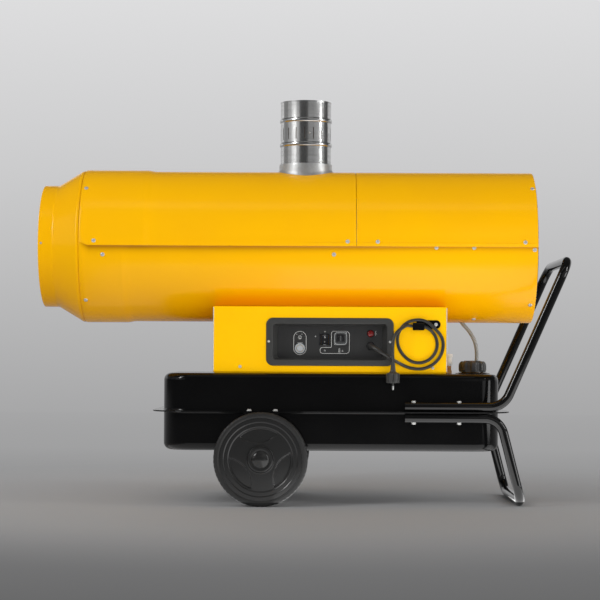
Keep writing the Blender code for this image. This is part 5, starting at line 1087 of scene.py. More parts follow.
def make_motor():
    """Motor: two end bells on a ribbed stator; the ribs are a wave round the middle stretch."""
    x = np.array([0.430, 0.430, 0.432, 0.454, 0.456, 0.4565, 0.5435, 0.544, 0.546, 0.560, 0.562,
                  0.562, 0.568, 0.570, 0.570])
    radius = np.array([0.0077, 0.063, 0.066, 0.066, 0.065, 0.0605, 0.0605, 0.065, 0.066, 0.066,
                       0.064, 0.022, 0.022, 0.021, 0.0077])
    ribbed = np.array([0, 0, 0, 0, 0, 1, 1, 0, 0, 0, 0, 0, 0, 0, 0])
    angle = turn_steps(240)
    wave = 0.0016 * ribbed[:, None] * (np.cos(30 * angle) > 0)
    ring = radius[:, None] + wave
    grid = rings(x[:, None], ring, angle, "X", (0, 0, axis_height))
    make_piece("motor_shell", [(skin(grid, wrap_rows=True), motor_paint)], "chassis",
               ["fan_motor"], crease=30)


def make_guard():
    """Inlet guard: wire rings at an even pitch on six spokes, with a heavier rim."""
    middle = 0.6655
    centre = (middle, 0, axis_height)
    wires = [ring_wire(radius, 0.0014, "X", centre, 96, 8)
             for radius in np.arange(0.030, 0.211, 0.0129)]
    wires.append(ring_wire(0.2160, 0.00275, "X", (middle + 0.0002, 0, axis_height), 128, 10))
    for number in range(6):
        way = np.array([0, math.cos(full_turn * number / 6), math.sin(full_turn * number / 6)])
        reach = np.linspace(0.026, 0.2145, 12)[:, None]
        path = np.array([[middle - 0.0012, 0, axis_height]]) + reach * way
        wires.append(tube(path, 0.0018, (1, 0, 0), 10))
    make_piece("inlet_grille", [(joined(*wires), black_gloss)], "chassis",
               ["inlet_guard"])


# Box and control panel


def folded_cover(name, node, side, holes):
    """A long cover: a rounded channel section carried along X, with real holes in its face."""
    lip = math.sqrt(cover_radius ** 2 - (axis_height - box_top) ** 2) + 0.0006
    section = filleted([(box_front_y - 0.018, box_bottom), (box_front_y, box_bottom),
                        (box_front_y, box_top), (lip, box_top)], [0, 0.003, 0.003, 0], 6)
    face = np.array([z for hole in holes for z in hole[2:]])
    low, high = box_bottom + 0.003, box_top - 0.003
    face = np.unique(np.concatenate([face, np.linspace(low + 0.004, high - 0.004, 12)]))
    middle = np.stack([np.full(len(face), box_front_y), face], -1)
    foot_points = 8
    section = np.concatenate([section[:foot_points], middle, section[foot_points:]])
    x = np.concatenate([[box_left, box_left + 0.0005, box_left + 0.0012, box_right - 0.0012,
                         box_right - 0.0005, box_right],
                        np.linspace(box_left, box_right, 30), [x for hole in holes for x in hole[:2]]])
    x = np.unique(np.round(x, 6))
    drawn = 0.0010 * (1 - smooth_step(np.minimum(x - box_left, box_right - x) / 0.0012))
    grid = np.stack([np.broadcast_to(x[:, None], (len(x), len(section))),
                     side * (section[None, :, 0] - drawn[:, None]),
                     np.broadcast_to(section[:, 1], (len(x), len(section)))], -1)
    points, quads, _ = skin(grid, wrap_columns=False, ends=False)
    centre = points[quads].mean(1)
    kept = outside_holes(centre, holes) | (abs(centre[:, 1]) <= box_front_y - 0.001)
    make_piece(name, [((points, quads[kept], []), box_yellow)], "chassis", [node],
               facing=((0, 1, 1), ((box_left + box_right) / 2, 0, (box_bottom + box_top) / 2)),
               wall=box_sheet)


def make_box():
    """Front cover with the panel's aperture, rear cover with six upright slots."""
    half_w, half_h = (half + 0.0028 for half in panel_opening)
    folded_cover("front_cover", "box_front", -1, [(panel_x - half_w, panel_x + half_w,
                                                   panel_z - half_h, panel_z + half_h)])
    middle = (box_left + box_right) / 2
    centre = (box_bottom + box_top) / 2
    slots = [(middle + 0.030 * (n - 2.5) - 0.004, middle + 0.030 * (n - 2.5) + 0.004,
              centre - 0.040, centre + 0.040) for n in range(6)]
    folded_cover("rear_cover", "box_rear", 1, slots)
    for name in ("box_base", "box_end_left", "box_end_right"):
        dress(name, box_yellow)
    # Pale zinc strips down the box's corner edges: the end plates' bare edges, made bright as a painted
    # highlight.
    edges = [tube([(x, side * (box_front_y - 0.0006), box_bottom + 0.004),
                   (x, side * (box_front_y - 0.0006), box_top - 0.003)], 0.0013, (1, 0, 0), 12)
             for side in (-1, 1) for x in (box_left + 0.0004, box_right - 0.0004)]
    make_piece("edge_highlight_strips", [(joined(*edges), zinc_screw)], "chassis")


def dress(name, finish_of):
    """A CAD node keeps its shape and takes a finish."""
    mesh = nodes[name].data
    mesh.materials.clear()
    mesh.materials.append(finish_of)


def on_panel(place):
    """A place across and up from the panel's middle, on the recess's floor."""
    return panel_x + place[0], panel_floor, panel_z + place[1]


def make_panel():
    """Bezel: rounded rectangles from the recess's floor out over a soft edge and back to the box."""
    centre = (panel_x, 0, panel_z)
    open_w, open_h = panel_opening
    half_w, half_h = 0.182, 0.0685
    bend = quarter_steps(6)
    levels = [(panel_floor + 0.0005, 0.14975, 0.0460, 0.006)]
    levels.append((panel_front + 0.004, open_w - 0.0005, open_h - 0.0005, 0.009))
    for t in bend:
        grown = 0.0025 * (1 - math.cos(t))
        levels.append((panel_front + 0.0025 * (1 - math.sin(t)), open_w + grown, open_h + grown,
                       0.009 + grown))
    for t in bend[::-1]:
        drawn = 0.004 * (1 - math.cos(t))
        levels.append((panel_front + 0.004 * (1 - math.sin(t)), half_w - drawn, half_h - drawn,
                       0.020 - drawn))
    levels += [(-box_front_y - 0.0003, half_w, half_h, 0.020),
               (-box_front_y - 0.0003, open_w + 0.0025, open_h + 0.0025, 0.0115),
               (-box_front_y + 0.004, open_w + 0.0022, open_h + 0.0022, 0.0112),
               (panel_floor + 0.0025, 0.1522, 0.0485, 0.0085)]
    bezel = stacked(levels, "Y", centre, 12, closed=True)
    sizes = ((reset_place, 0.0100, 0.0100), (switch_place, 0.0131, 0.0149),
             (socket_place, 0.0137, 0.0137))
    holes = [(u - half_u, u + half_u, v - half_v, v + half_v) for (u, v), half_u, half_v in sizes]
    x = [-0.1498, 0.1498] + [side for hole in holes for side in hole[:2]]
    z = [-0.0461, 0.0461] + [side for hole in holes for side in hole[2:]]
    x, z = np.unique(np.concatenate([x, np.linspace(-0.14, 0.14, 15)])), np.unique(z)
    grid = np.stack([np.broadcast_to(panel_x + x[:, None], (len(x), len(z))),
                     np.full((len(x), len(z)), panel_floor),
                     np.broadcast_to(panel_z + z, (len(x), len(z)))], -1)
    points, quads, _ = skin(grid, wrap_columns=False, ends=False)
    middle = points[quads].mean(1) - np.array([panel_x, 0, panel_z])
    kept = outside_holes(middle, holes)
    make_piece("panel_bezel", [(bezel, panel_plastic)], "chassis",
               ["control_panel"], crease=30)
    make_piece("panel_floor", [((points, quads[kept], []), recess_plastic)], "chassis",
               facing=((0, -1, 0), (0, -1, 0)), wall=panel_wall)


def make_reset():
    """Reset button: a clear grey collar with a rounded rim, and a shallow dished cap in it."""
    centre = on_panel(reset_place)
    bend = quarter_steps(6)
    rim = [(-0.0040 + 0.0016 * (1 - math.sin(t)), 0.0130 + 0.0016 * math.cos(t)) for t in bend]
    collar = [(-0.0003, 0.0146), *rim, (-0.0040, 0.0112), (-0.0036, 0.0106), (0.0140, 0.0106),
              (0.0140, 0.0122), (-0.0003, 0.0122)]
    make_piece("reset_ring", [(turned(collar, "Y", centre, 64), clear_grey)], "chassis",
               ["reset_collar"])
    cap = [(-0.0055, 0), (-0.0056, 0.0040), (-0.0062, 0.0070), (-0.0065, 0.0078), (-0.0062, 0.0090),
           (-0.0050, 0.0099), (0.0055, 0.0099), (0.0055, 0)]
    make_piece("reset_cap", [(turned(cap, "Y", centre, 64, closed=False), clear_grey)], "reset",
               ["reset_button"])


def make_switch():
    """Rocker switch: a soft-edged frame, and a rocker whose face is a shallow valley."""
    centre = on_panel(switch_place)
    levels = [(0.0148, 0.0108, 0.0139, 0.0006), (-0.0024, 0.0108, 0.0139, 0.0006),
              (-0.0028, 0.0111, 0.0142, 0.0009), (-0.0028, 0.0136, 0.0153, 0.0018),
              (-0.0024, 0.0148, 0.0165, 0.0024), (-0.0014, 0.0152, 0.0169, 0.0026),
              (-0.0003, 0.0152, 0.0169, 0.0026), (-0.0003, 0.0129, 0.0147, 0.0006),
              (0.0170, 0.0129, 0.0147, 0.0006)]
    make_piece("rocker_frame", [(stacked(levels, "Y", centre, 6, closed=True), switch_plastic)],
               "chassis", ["switch_frame"], crease=30)
    pivot = np.array([centre[0], panel_floor + 0.001, centre[2]])
    height = np.linspace(-1, 1, 25)
    reach = 0.01187
    front = -(0.0035 + 0.0025 * abs(height) ** 1.6)
    side = np.radians(np.linspace(63.2, 107.5, 9))
    arc = np.stack([-0.0133 * np.cos(side), 0.0133 * np.sin(side)], -1)
    outline = np.concatenate([np.stack([front, reach * height], -1)[1:-1], arc,
                              (arc * [1, -1])[::-1]])
    tilt = math.radians(-10)
    y = outline[:, 0] * math.cos(tilt) - outline[:, 1] * math.sin(tilt)
    z = outline[:, 0] * math.sin(tilt) + outline[:, 1] * math.cos(tilt)
    edge = np.array([-1, -0.96, 0.96, 1]) * 0.01010
    drawn = np.array([0.0005, 0, 0, 0.0005])
    middle = np.array([y.mean(), z.mean()])
    grid = []
    for x, inset in zip(edge, drawn):
        shrink = 1 - inset / 0.012
        grid.append(np.stack([np.full(len(y), x), middle[0] + (y - middle[0]) * shrink,
                              middle[1] + (z - middle[1]) * shrink], -1) + pivot)
    rocker = skin(np.array(grid))

    def on_face(points, reach_out):
        """Points of the rocker's face moved along its tilt: (across, up) to the world."""
        u, v = points[:, 0], points[:, 1]
        depth = -(0.0035 + 0.0025 * abs(v / reach) ** 1.6) - reach_out
        return pivot + np.stack([u, depth * math.cos(tilt) - v * math.sin(tilt),
                                 depth * math.sin(tilt) + v * math.cos(tilt)], -1)

    marks = []
    angle = turn_steps(24)
    rows = [(0.0021, 0.0), (0.0021, 0.0002), (0.0015, 0.0002), (0.0015, 0.0)]
    ring = [on_face(np.stack([r * np.cos(angle), 0.0068 + r * np.sin(angle)], -1), out)
            for r, out in rows]
    marks.append(skin(np.array(ring), wrap_rows=True))
    bar = np.array([[-0.0004, -0.0085], [0.0004, -0.0085], [0.0004, -0.0045], [-0.0004, -0.0045]])
    marks.append(skin(np.stack([on_face(bar, -0.0002), on_face(bar, 0.0002)])))
    parts = [(rocker, switch_plastic)] + [(mark, white_print) for mark in marks]
    make_piece("rocker", parts, "rocker", ["switch_rocker"], crease=30)


def make_socket():
    """Thermostat socket: a rounded flange round a square bore, and the bridging plug in it."""
    centre = on_panel(socket_place)
    bend = quarter_steps(5)
    levels = [(0.0135, 0.0095, 0.0095, 0.0015), (-0.0055, 0.0095, 0.0095, 0.0015),
              (-0.0060, 0.0100, 0.0100, 0.0020), (-0.0060, 0.0160, 0.0160, 0.0075)]
    for t in bend[::-1]:
        drawn = 0.0022 * (1 - math.cos(t))
        levels.append((-0.0060 + 0.0022 * (1 - math.sin(t)) + 0.0006, 0.020 - drawn, 0.020 - drawn,
                       0.010 - drawn))
    levels += [(-0.0003, 0.020, 0.020, 0.010), (-0.0003, 0.0135, 0.0135, 0.003),
               (0.016, 0.0135, 0.0135, 0.003)]
    flange = stacked(levels, "Y", centre, 8, closed=True)
    shroud = [(-0.0056, 0.0176, 0.0176, 0.0080), (-0.0070, 0.0174, 0.0174, 0.0080),
              (-0.0070, 0.0160, 0.0160, 0.0066), (-0.0056, 0.0160, 0.0160, 0.0066)]
    screws = [placed(screw_head(0.0016, 0.0007), (centre[0] + u * 0.0165, panel_floor - 0.0062,
                                                   centre[2] + v * 0.0165), (0, -1, 0))
              for u, v in ((1, 1), (-1, -1))]
    make_piece("thermostat_flange", [(flange, smoke_grey), (stacked(shroud, "Y", centre, 8, True),
                                                            clear_grey),
                                     (joined(*screws), bright_steel)], "chassis",
               ["thermostat_socket"], crease=30)
    front = -0.0143
    levels = [(front, 0.0085, 0.0085, 0.002), (front, 0.0098, 0.0098, 0.003),
              (front + 0.0006, 0.0112, 0.0112, 0.0036), (front + 0.002, 0.0120, 0.0120, 0.004),
              (-0.0063, 0.0120, 0.0120, 0.004), (-0.0063, 0.0092, 0.0092, 0.0013),
              (-0.0003, 0.0092, 0.0092, 0.0013)]
    grip = [(front, 0.0020, 0.0075, 0.0012), (front - 0.0004, 0.0018, 0.0072, 0.0011)]
    make_piece("bridging_plug", [(stacked(levels, "Y", centre, 8), switch_plastic),
                                 (stacked(grip, "Y", centre, 6), smoke_grey)], "bridge_plug",
               ["thermostat_plug"], crease=30)


def make_lamp_and_gland():
    """Red lamp: a dome in a rim. Gland: a six-sided nut and a ribbed, tapering strain relief."""
    centre = on_panel(lamp_place)
    bend = quarter_steps(10)
    dome = [(-0.0018 - 0.0062 * math.cos(t), 0.0095 * math.sin(t)) for t in bend]
    dome[0] = (-0.0080, 0)
    lens = dome + [(-0.0010, 0.0095), (-0.0010, 0)]
    rim = [(-0.0003, 0.0095), (-0.0003, 0.0108), (-0.0014, 0.0108), (-0.0020, 0.0103),
           (-0.0018, 0.0096)]
    make_piece("lamp_lens", [(turned(lens, "Y", centre, 48, closed=False), red_lens),
                             (turned(rim, "Y", centre, 48), switch_plastic)], "chassis",
               ["warning_lamp"])
    centre = on_panel(gland_place)
    nut = np.array([[-0.0003, 0.0125], [-0.0052, 0.0125], [-0.0060, 0.0116]])
    nut = skin(rings(nut[:, :1], nut[:, 1:], turn_steps(6), "Y", centre))
    place = np.linspace(-0.0060, -0.0283, 46)
    share = np.linspace(0, 1, 46)
    radius = 0.0090 - 0.0036 * share + 0.0005 * np.sin(share * full_turn * 6)
    sleeve = [(-0.0060, 0.0)] + list(zip(place, radius)) + [(-0.0283, 0.0050), (-0.0283, 0)]
    lead = cord_route()[4:17]
    collar = tube(lead, np.linspace(0.0082, 0.0050, len(lead)), (0, 0, 1), 24)
    make_piece("cord_gland", [(nut, switch_plastic), (collar, cord_rubber),
                              (turned(sleeve, "Y", centre, 48, closed=False), cord_rubber)],
               "chassis", ["cable_gland"], crease=30)


def make_panel_marks():
    """Printed outlines and generic signs on the recess's floor, as thin white lines."""
    y = panel_floor - 0.00005
    lines = []
    pill = ring_outline(0.0178, 0.0333, 0.0176, 12) + [-0.0094, 0.4599]
    lines.append(ribbon(pill, 0.0009, y, loop=True))
    area = filleted([(0.0485, 0.4303), (0.1322, 0.4303), (0.1322, 0.4941), (0.0806, 0.4941),
                     (0.0806, 0.4477), (0.0485, 0.4477)], [0.0075, 0.010, 0.010, 0.0075, 0.001, 0.0075],
                    8, closed=True)
    lines.append(ribbon(area, 0.0009, y, loop=True))
    turn = np.linspace(0, full_turn, 24, endpoint=False)

    def ring(u, v, radius):
        return np.stack([u + radius * np.cos(turn), v + radius * np.sin(turn)], -1)

    for u, v, radius in ((-0.0094, 0.4760, 0.0048), (0.0617, 0.4385, 0.0018), (0.0350, 0.4790, 0.0012)):
        lines.append(ribbon(ring(u, v, radius), 0.0007, y, loop=True))
    strokes = [
        [(-0.0094, 0.4725), (-0.0094, 0.4795)], [(-0.0118, 0.4742), (-0.0094, 0.4725)],
        [(-0.0070, 0.4742), (-0.0094, 0.4725)], [(-0.0205, 0.4850), (-0.0170, 0.4850)],
        [(-0.0020, 0.4850), (-0.0055, 0.4850)],
        [(0.0617, 0.4905), (0.0617, 0.4945)], [(0.0595, 0.4925), (0.0639, 0.4925)],
        [(0.1020, 0.4340), (0.1020, 0.4440)], [(0.1050, 0.4340), (0.1050, 0.4440)],
        [(0.1020, 0.4440), (0.1050, 0.4440)], [(0.1005, 0.4340), (0.1065, 0.4340)],
        [(0.1105, 0.4365), (0.1145, 0.4365)], [(0.1105, 0.4395), (0.1135, 0.4395)],
        [(0.2085, 0.4950), (0.2060, 0.4890)], [(0.2060, 0.4890), (0.2090, 0.4885)],
        [(0.2090, 0.4885), (0.2065, 0.4820)],
        [(-0.0170, 0.4600), (-0.0020, 0.4600)],
    ]
    for stroke in strokes:
        start, end = np.array(stroke)
        lines.append(ribbon(start + (end - start) * np.linspace(0, 1, 3)[:, None], 0.0008, y))
    make_piece("panel_marks", [(joined(*lines), white_print)], "chassis")


def make_strap():
    """Cord holder: a flat tongue with a round end, and an open clip that holds the cord in."""
    end = np.linspace(-math.pi / 2, math.pi / 2, 24)
    half = 0.0123
    outline = np.concatenate([[[0.3230, 0.5140 + half], [0.3230, 0.5140 - half]],
                              np.stack([0.3790 + half * np.cos(end), 0.5140 + half * np.sin(end)], -1)])
    middle = outline.mean(0)
    rows = [(1, -0.2003), (1, -0.2026), (0.985, -0.2032), (0.95, -0.2033)]
    tongue = skin(np.array([at_depth(middle + (outline - middle) * share, y) for share, y in rows]))
    hook = filleted([(-0.2010, 0.5180), (-0.2155, 0.5180), (-0.2155, 0.4978)], [0, 0.006, 0], 10)
    ahead = np.gradient(hook, axis=0)
    ahead /= np.linalg.norm(ahead, axis=1)[:, None]
    side = np.stack([-ahead[:, 1], ahead[:, 0]], -1) * 0.00125
    section = np.concatenate([hook + side, (hook - side)[::-1]])
    x = np.array([0.3115, 0.3120, 0.3438, 0.3443])
    shrink = np.array([0.0004, 0, 0, 0.0004])
    middle = section.mean(0)
    rows = []
    for place, inset in zip(x, shrink):
        drawn = middle + (section - middle) * (1 - 40 * inset)
        rows.append(np.stack([np.full(len(section), place), *drawn.T], -1))
    head = placed(screw_head(0.0050, 0.0026), (0.3780, -0.2033, 0.5140), (0, -1, 0))
    make_piece("cord_clip", [(tongue, black_gloss), (skin(np.array(rows)), black_gloss),
                             (head, zinc_screw)], "chassis", ["cord_strap"],
               crease=30)


# Tank, filler, fuel line


def tank_half(name, node, side, end):
    """A pressed pan: rounded rectangles from inside up over the wide edge and out to the flange."""
    centre = ((tank_left + tank_right) / 2, 0, 0)
    half_length = (tank_right - tank_left) / 2
    bend = quarter_steps(10)
    meet = flange_height + side * 0.00015

    def level(height, inset):
        return height, half_length - inset, tank_half_width - inset, 0.080 - inset

    levels = [level(end - side * 0.002, 0.022)]
    levels += [level(end - side * (0.002 + 0.018 * (1 - math.sin(t))),
                     0.002 + 0.018 * (1 - math.cos(t))) for t in bend[::-1]]
    levels += [level(meet + side * 0.0040, 0.002), level(meet, 0.0), level(meet, -0.0300),
               level(meet + side * 0.0003, -0.0316), level(meet + side * 0.0010, -0.0320),
               level(meet + side * 0.0017, -0.0316), level(meet + side * 0.0020, -0.0300),
               level(meet + side * 0.0020, -0.0030), level(meet + side * 0.0026, -0.0012),
               level(meet + side * 0.0050, 0.0), level(meet + side * 0.0065, 0.0),
               level(end - side * 0.0220, 0.0)]
    levels += [level(end - side * 0.020 * (1 - math.sin(t)), 0.020 * (1 - math.cos(t))) for t in bend]
    levels.append(level(end, 0.022))
    make_piece(name, [(stacked(levels, "Z", centre, 16), tank_gloss)], "chassis",
               [node], crease=30)


def make_filler():
    """Filler neck on its flange, and the lobed cap: radius by height plus eight soft lobes."""
    place = (0.490, -0.100, 0)
    neck = [(0.3695, 0.0305), (0.3994, 0.0305), (0.3998, 0.0315), (0.3994, 0.0325), (0.3770, 0.0325),
            (0.3762, 0.0340), (0.3760, 0.0480), (0.3752, 0.0498), (0.3738, 0.0500), (0.3738, 0.0325),
            (0.3695, 0.0325)]
    ring_seam = [(0.3762, 0.0400), (0.3772, 0.0410), (0.3772, 0.0420), (0.3762, 0.0430)]
    make_piece("filler_ring", [(turned(neck, "Z", place, 96), black_gloss),
                               (turned(ring_seam, "Z", place, 96), black_gloss)], "chassis",
               ["filler_neck"])
    rows = np.array([[0.4086, 0.0123, 0], [0.4045, 0.0123, 0], [0.4045, 0.0325, 0],
                     [0.3785, 0.0332, 0], [0.3785, 0.0366, 0.0004], [0.3792, 0.0372, 0.0010],
                     [0.3835, 0.0374, 0.0022], [0.3850, 0.0374, 0.0026], [0.3960, 0.0374, 0.0026],
                     [0.4010, 0.0368, 0.0026], [0.4050, 0.0352, 0.0024], [0.4078, 0.0332, 0.0018],
                     [0.4095, 0.0318, 0.0010], [0.4098, 0.0290, 0.0005], [0.4088, 0.0270, 0],
                     [0.4088, 0.0120, 0], [0.4115, 0.0090, 0], [0.4115, 0.0, 0]])
    angle = turn_steps(192)
    radius = rows[:, 1:2] + rows[:, 2:] * np.tanh(3 * np.cos(8 * angle))
    grid = rings(rows[:, :1], radius, angle, "Z", place)
    points, quads, _ = skin(grid, ends=False)
    bar = rounded_block((place[0] - 0.0240, place[1] - 0.0032, 0.4080),
                        (place[0] + 0.0240, place[1] + 0.0032, 0.4114), 0.0012)
    shape = (points, quads, [np.arange(192)])
    make_piece("filler_grip", [(shape, cap_plastic), (bar, cap_plastic)], "cap_grip",
               ["filler_cap"], crease=30)
    dress("filler_cap_core", cap_plastic)
    dress("filler_strainer", strainer_mesh)


def make_fuel_line():
    """Braided hose from the tank's boss up into the barrel; filter bowl on its brass fitting."""
    height = np.array([0.3695, 0.3860, 0.4150, 0.4380, 0.4600, 0.4830, 0.5060, 0.5220, 0.5800,
                       0.6500, 0.7077])
    x = np.array([0.5076, 0.5085, 0.5103, 0.5104, 0.5075, 0.4980, 0.4820, 0.4640, 0.4350, 0.4100,
                  0.4007])
    fine = np.linspace(0, 1, 70)
    share = np.linspace(0, 1, len(x))
    path = np.stack([np.interp(fine, share, x), np.zeros(70), np.interp(fine, share, height)], -1)
    kernel = np.ones(9) / 9
    padded = np.pad(path, ((4, 4), (0, 0)), mode="edge")
    middle = np.stack([np.convolve(line, kernel, "valid") for line in padded.T], -1)
    middle[0], middle[-1] = path[0], path[-1]
    ferrule = [(0.3740, 0), (0.3740, 0.0090), (0.3745, 0.0094), (0.3805, 0.0094), (0.3812, 0.0088),
               (0.3812, 0.0072), (0.3930, 0.0070), (0.3936, 0.0064), (0.3936, 0)]
    make_piece("fuel_line", [(tube(middle, 0.0055, (1, 0, 0), 20), hose_braid),
                             (turned(ferrule, "Z", (0.5076, 0, 0), 6, closed=False), galvanised)],
               "chassis", ["fuel_hose"])
    place = (0.4235, -0.060, 0)
    bowl = [(0.3960, 0), (0.3960, 0.0072), (0.3966, 0.0080), (0.4010, 0.0100), (0.4060, 0.0110),
            (0.4205, 0.0110), (0.4212, 0.0116), (0.4215, 0.0125), (0.4292, 0.0125), (0.4300, 0.0118),
            (0.4300, 0)]
    stub = tube([(0.4098, -0.060, 0.4258), (0.4235, -0.060, 0.4258)], 0.004, (0, 0, 1), 24)
    make_piece("filter_bowl", [(turned(bowl, "Z", place, 64, closed=False), white_plastic),
                               (stub, brass)], "chassis", ["fuel_filter"])
    foot = [(0.3675, 0.00375), (0.3675, 0.0075), (0.3738, 0.0075), (0.3957, 0.0075),
            (0.3957, 0.00375)]
    hexagon = [(0.3738, 0.0074), (0.3738, 0.0095), (0.3822, 0.0095), (0.3828, 0.0090),
               (0.3828, 0.0074)]
    threads = [(0.3835 + 0.0011 * n + d, 0.0074 + r) for n in range(10)
               for d, r in ((0, 0), (0.0005, 0.0005))]
    make_piece("filter_nipple", [(turned(foot, "Z", place, 48), brass),
                                 (turned(hexagon, "Z", place, 6), brass),
                                 (turned([(0.3833, 0.0060)] + threads + [(0.3950, 0.0060)], "Z",
                                         place, 36), brass)],
               "chassis", ["filter_fitting"], crease=30)


# Wheels, handle and leg


def lens_depth(radius, angle):
    """Depth of three lens pockets: inside a large circle and inside an offset arc, soft-edged."""
    depth = 0
    for number in range(3):
        turn = math.radians(95) + full_turn * number / 3
        u = radius * np.cos(angle - turn)
        v = radius * np.sin(angle - turn)
        outside = np.maximum(radius - 0.0860, np.hypot(u - 0.1201, v) - 0.0741)
        depth = depth + 0.0028 * smooth_step(-outside / 0.0022)
    return depth


def make_wheel(label, side):
    """Wheel disc: depth by radius with two soft steps, less the lens pockets; tyre and hub cap."""
    body = label + "_wheel"
    centre = np.array([axle_x, side * wheel_inner_y, axle_height])
    rows = [(0.0030, 0.0107), (0.0030, 0.0340), (0.0255, 0.0350), (0.0255, 0.1080), (0.0030, 0.1100),
            (0.0030, 0.1163), (0.0350, 0.1163), (0.0361, 0.1160), (0.0362, 0.1150)]
    step = np.linspace(1, 0, 9)
    rows += [(0.0345 + 0.0017 * smooth_step(s), 0.1022 + 0.0036 * s) for s in step]
    rows += [(0.0325 + 0.0020 * smooth_step(s), 0.0892 + 0.0038 * s) for s in step]
    rows += [(0.0325, r) for r in np.arange(0.0882, 0.0395, -0.0014)]
    rows += [(0.0327, 0.0385), (0.0340, 0.0372), (0.0375, 0.0360), (0.0398, 0.0350), (0.0404, 0.0338),
             (0.0405, 0.0320), (0.0404, 0.0260), (0.0398, 0.0250), (0.0330, 0.0249), (0.0330, 0.0107)]
    rows = np.array(rows)
    angle = turn_steps(300)
    radius = np.broadcast_to(rows[:, 1:], (len(rows), 300))
    web = (rows[:, :1] > 0.0318) & (rows[:, :1] < 0.0326) & (rows[:, 1:] > 0.038)
    depth = rows[:, :1] - lens_depth(radius, angle) * web
    grid = rings(side * depth, radius, angle, "Y", centre)
    make_piece("disc_" + label, [(skin(grid, wrap_rows=True), wheel_plastic)], body,
               ["wheel_" + label], crease=32)
    tread = np.array([[0.0020, 0.1165], [0.0020, 0.1240], [0.0030, 0.1278], [0.0050, 0.1305],
                      [0.0085, 0.1320], [0.0130, 0.1325], [0.0180, 0.1325], [0.0185, 0.1312],
                      [0.0215, 0.1312], [0.0220, 0.1325], [0.0270, 0.1325], [0.0315, 0.1320],
                      [0.0350, 0.1305], [0.0370, 0.1278], [0.0379, 0.1240], [0.0380, 0.1222],
                      [0.0380, 0.1204], [0.0378, 0.1198], [0.0373, 0.1190], [0.0368, 0.1182],
                      [0.0364, 0.1174], [0.0363, 0.1165]])
    angle = turn_steps(480)
    ribs = smooth_step((np.cos(60 * angle) - 0.1) / 0.5)
    shoulder = smooth_step((tread[:, 1] - 0.1285) / 0.003) * (abs(tread[:, 0] - 0.02) > 0.004)
    radius = tread[:, 1:] - 0.0009 * shoulder[:, None] * ribs
    grid = rings(side * tread[:, :1], radius, angle, "Y", centre)
    make_piece("tread_" + label, [(skin(grid, wrap_rows=True), tyre_rubber)], body,
               ["tyre_" + label], crease=30)
    bend = quarter_steps(10)
    cap = [(0.0333, 0), (0.0333, 0.0246), (0.0405, 0.0246)]
    cap += [(0.0408 + 0.0077 * math.sin(t), 0.0240 * math.cos(t)) for t in bend[:-1]] + [(0.0485, 0)]
    cap = [(side * d, r) for d, r in cap]
    make_piece("dome_" + label, [(turned(cap, "Y", centre, 72, closed=False), wheel_plastic)], body,
               ["hub_cap_" + label])


def bent_tube(name, node, corners, bends):
    """A tube along the near side's corners (x, z), across, and back along the far side's."""
    near = [(x, -tube_y, z) for x, z in corners]
    far = [(x, tube_y, z) for x, z in corners[::-1]]
    path = filleted(near + far, [0, *bends, *bends[::-1], 0], 14)
    make_piece(name, [(tube(path, tube_radius, (0, 0, 1), 28), black_gloss)], "chassis",
               [node])


def make_tubes():
    """Handle and leg: 27 mm tubes whose corners are arcs, closed at their ends."""
    tube_end, run, low_run = 0.289, 0.28085, 0.24895
    bent_tube("push_bar", "push_handle", [(tube_end, run), (0.5674, run), (0.7505, 0.6965)],
              (0.060, 0.055))
    bent_tube("rest_leg", "support_leg", [(tube_end, low_run), (0.5572, low_run),
                                          (0.6170, tube_radius)], (0.055, 0.050))


def make_fixings():
    """Screws on the casing, hose collar, box and panel, and bolts through tubes and flange."""
    heads = []

    def on_barrel(x, height, near, base=cover_radius, band=cover_band_end):
        """A head on the barrel at a height above its axis, on the near or far side."""
        radius = base + float(band_step(np.array(x), band))
        angle = math.asin(height / radius)
        up = (0, near * math.cos(angle), math.sin(angle))
        centre = (x, up[1] * radius, axis_height + up[2] * radius)
        heads.append(placed(screw_head(0.0060, 0.0034), centre, up))

    for side in (-1, 1):
        for x, height in ((-0.6275, 0.1593), (0.6572, 0.1634)):
            on_barrel(x, height, side)
        for x in (-0.5974, 0.1252, 0.2110, 0.6300):
            on_barrel(x, 0.0050, side, cover_radius + 0.6 * lip_flare)
        for x in (0.3777, 0.4849):
            on_barrel(x, -0.0105, side, casing_radius, trough_band_end)
        for x, height in ((-0.5725, -0.0340), (0.0866, -0.0312), (-0.6270, -0.1622), (0.6523, -0.1701),
                          (0.6570, -0.0158), (0.4960, -0.2100)):
            on_barrel(x, height, side, casing_radius, trough_band_end)
    for angle in np.radians([180, 300, 60]):
        up = (0, math.cos(angle), math.sin(angle))
        heads.append(placed(screw_head(0.0034, 0.0020),
                            (-0.7548, 0.179 * up[1], axis_height + 0.179 * up[2]), up))
    for x, z in ((-0.1796, 0.3918), (0.3696, 0.3903)):
        for side in (-1, 1):
            heads.append(placed(screw_head(0.0046, 0.0024), (x, side * box_front_y, z), (0, side, 0)))
    for x in (-0.0983, 0.2475):
        heads.append(placed(screw_head(0.0036, 0.0018), (x, panel_front, panel_z + 0.0007), (0, -1, 0)))
    make_piece("casing_screws", [(joined(*heads), zinc_screw)], "chassis")
    bolts = []
    for side in (-1, 1):
        for x in (0.3137, 0.4422):
            bolts.append(placed(hex_head(0.0062, 0.0058), (x, side * tube_y, 0.2920), (0, 0, 1)))
            bolts.append(placed(hex_head(0.0062, 0.0058), (x, side * tube_y, 0.2368), (0, 0, -1)))
        for x in (-0.1515, -0.0770):
            bolts.append(placed(hex_head(0.0058, 0.0050), (x, side * 0.241, flange_height + 0.0021),
                                (0, 0, 1)))
    make_piece("frame_bolts", [(joined(*bolts), zinc_screw)], "chassis")


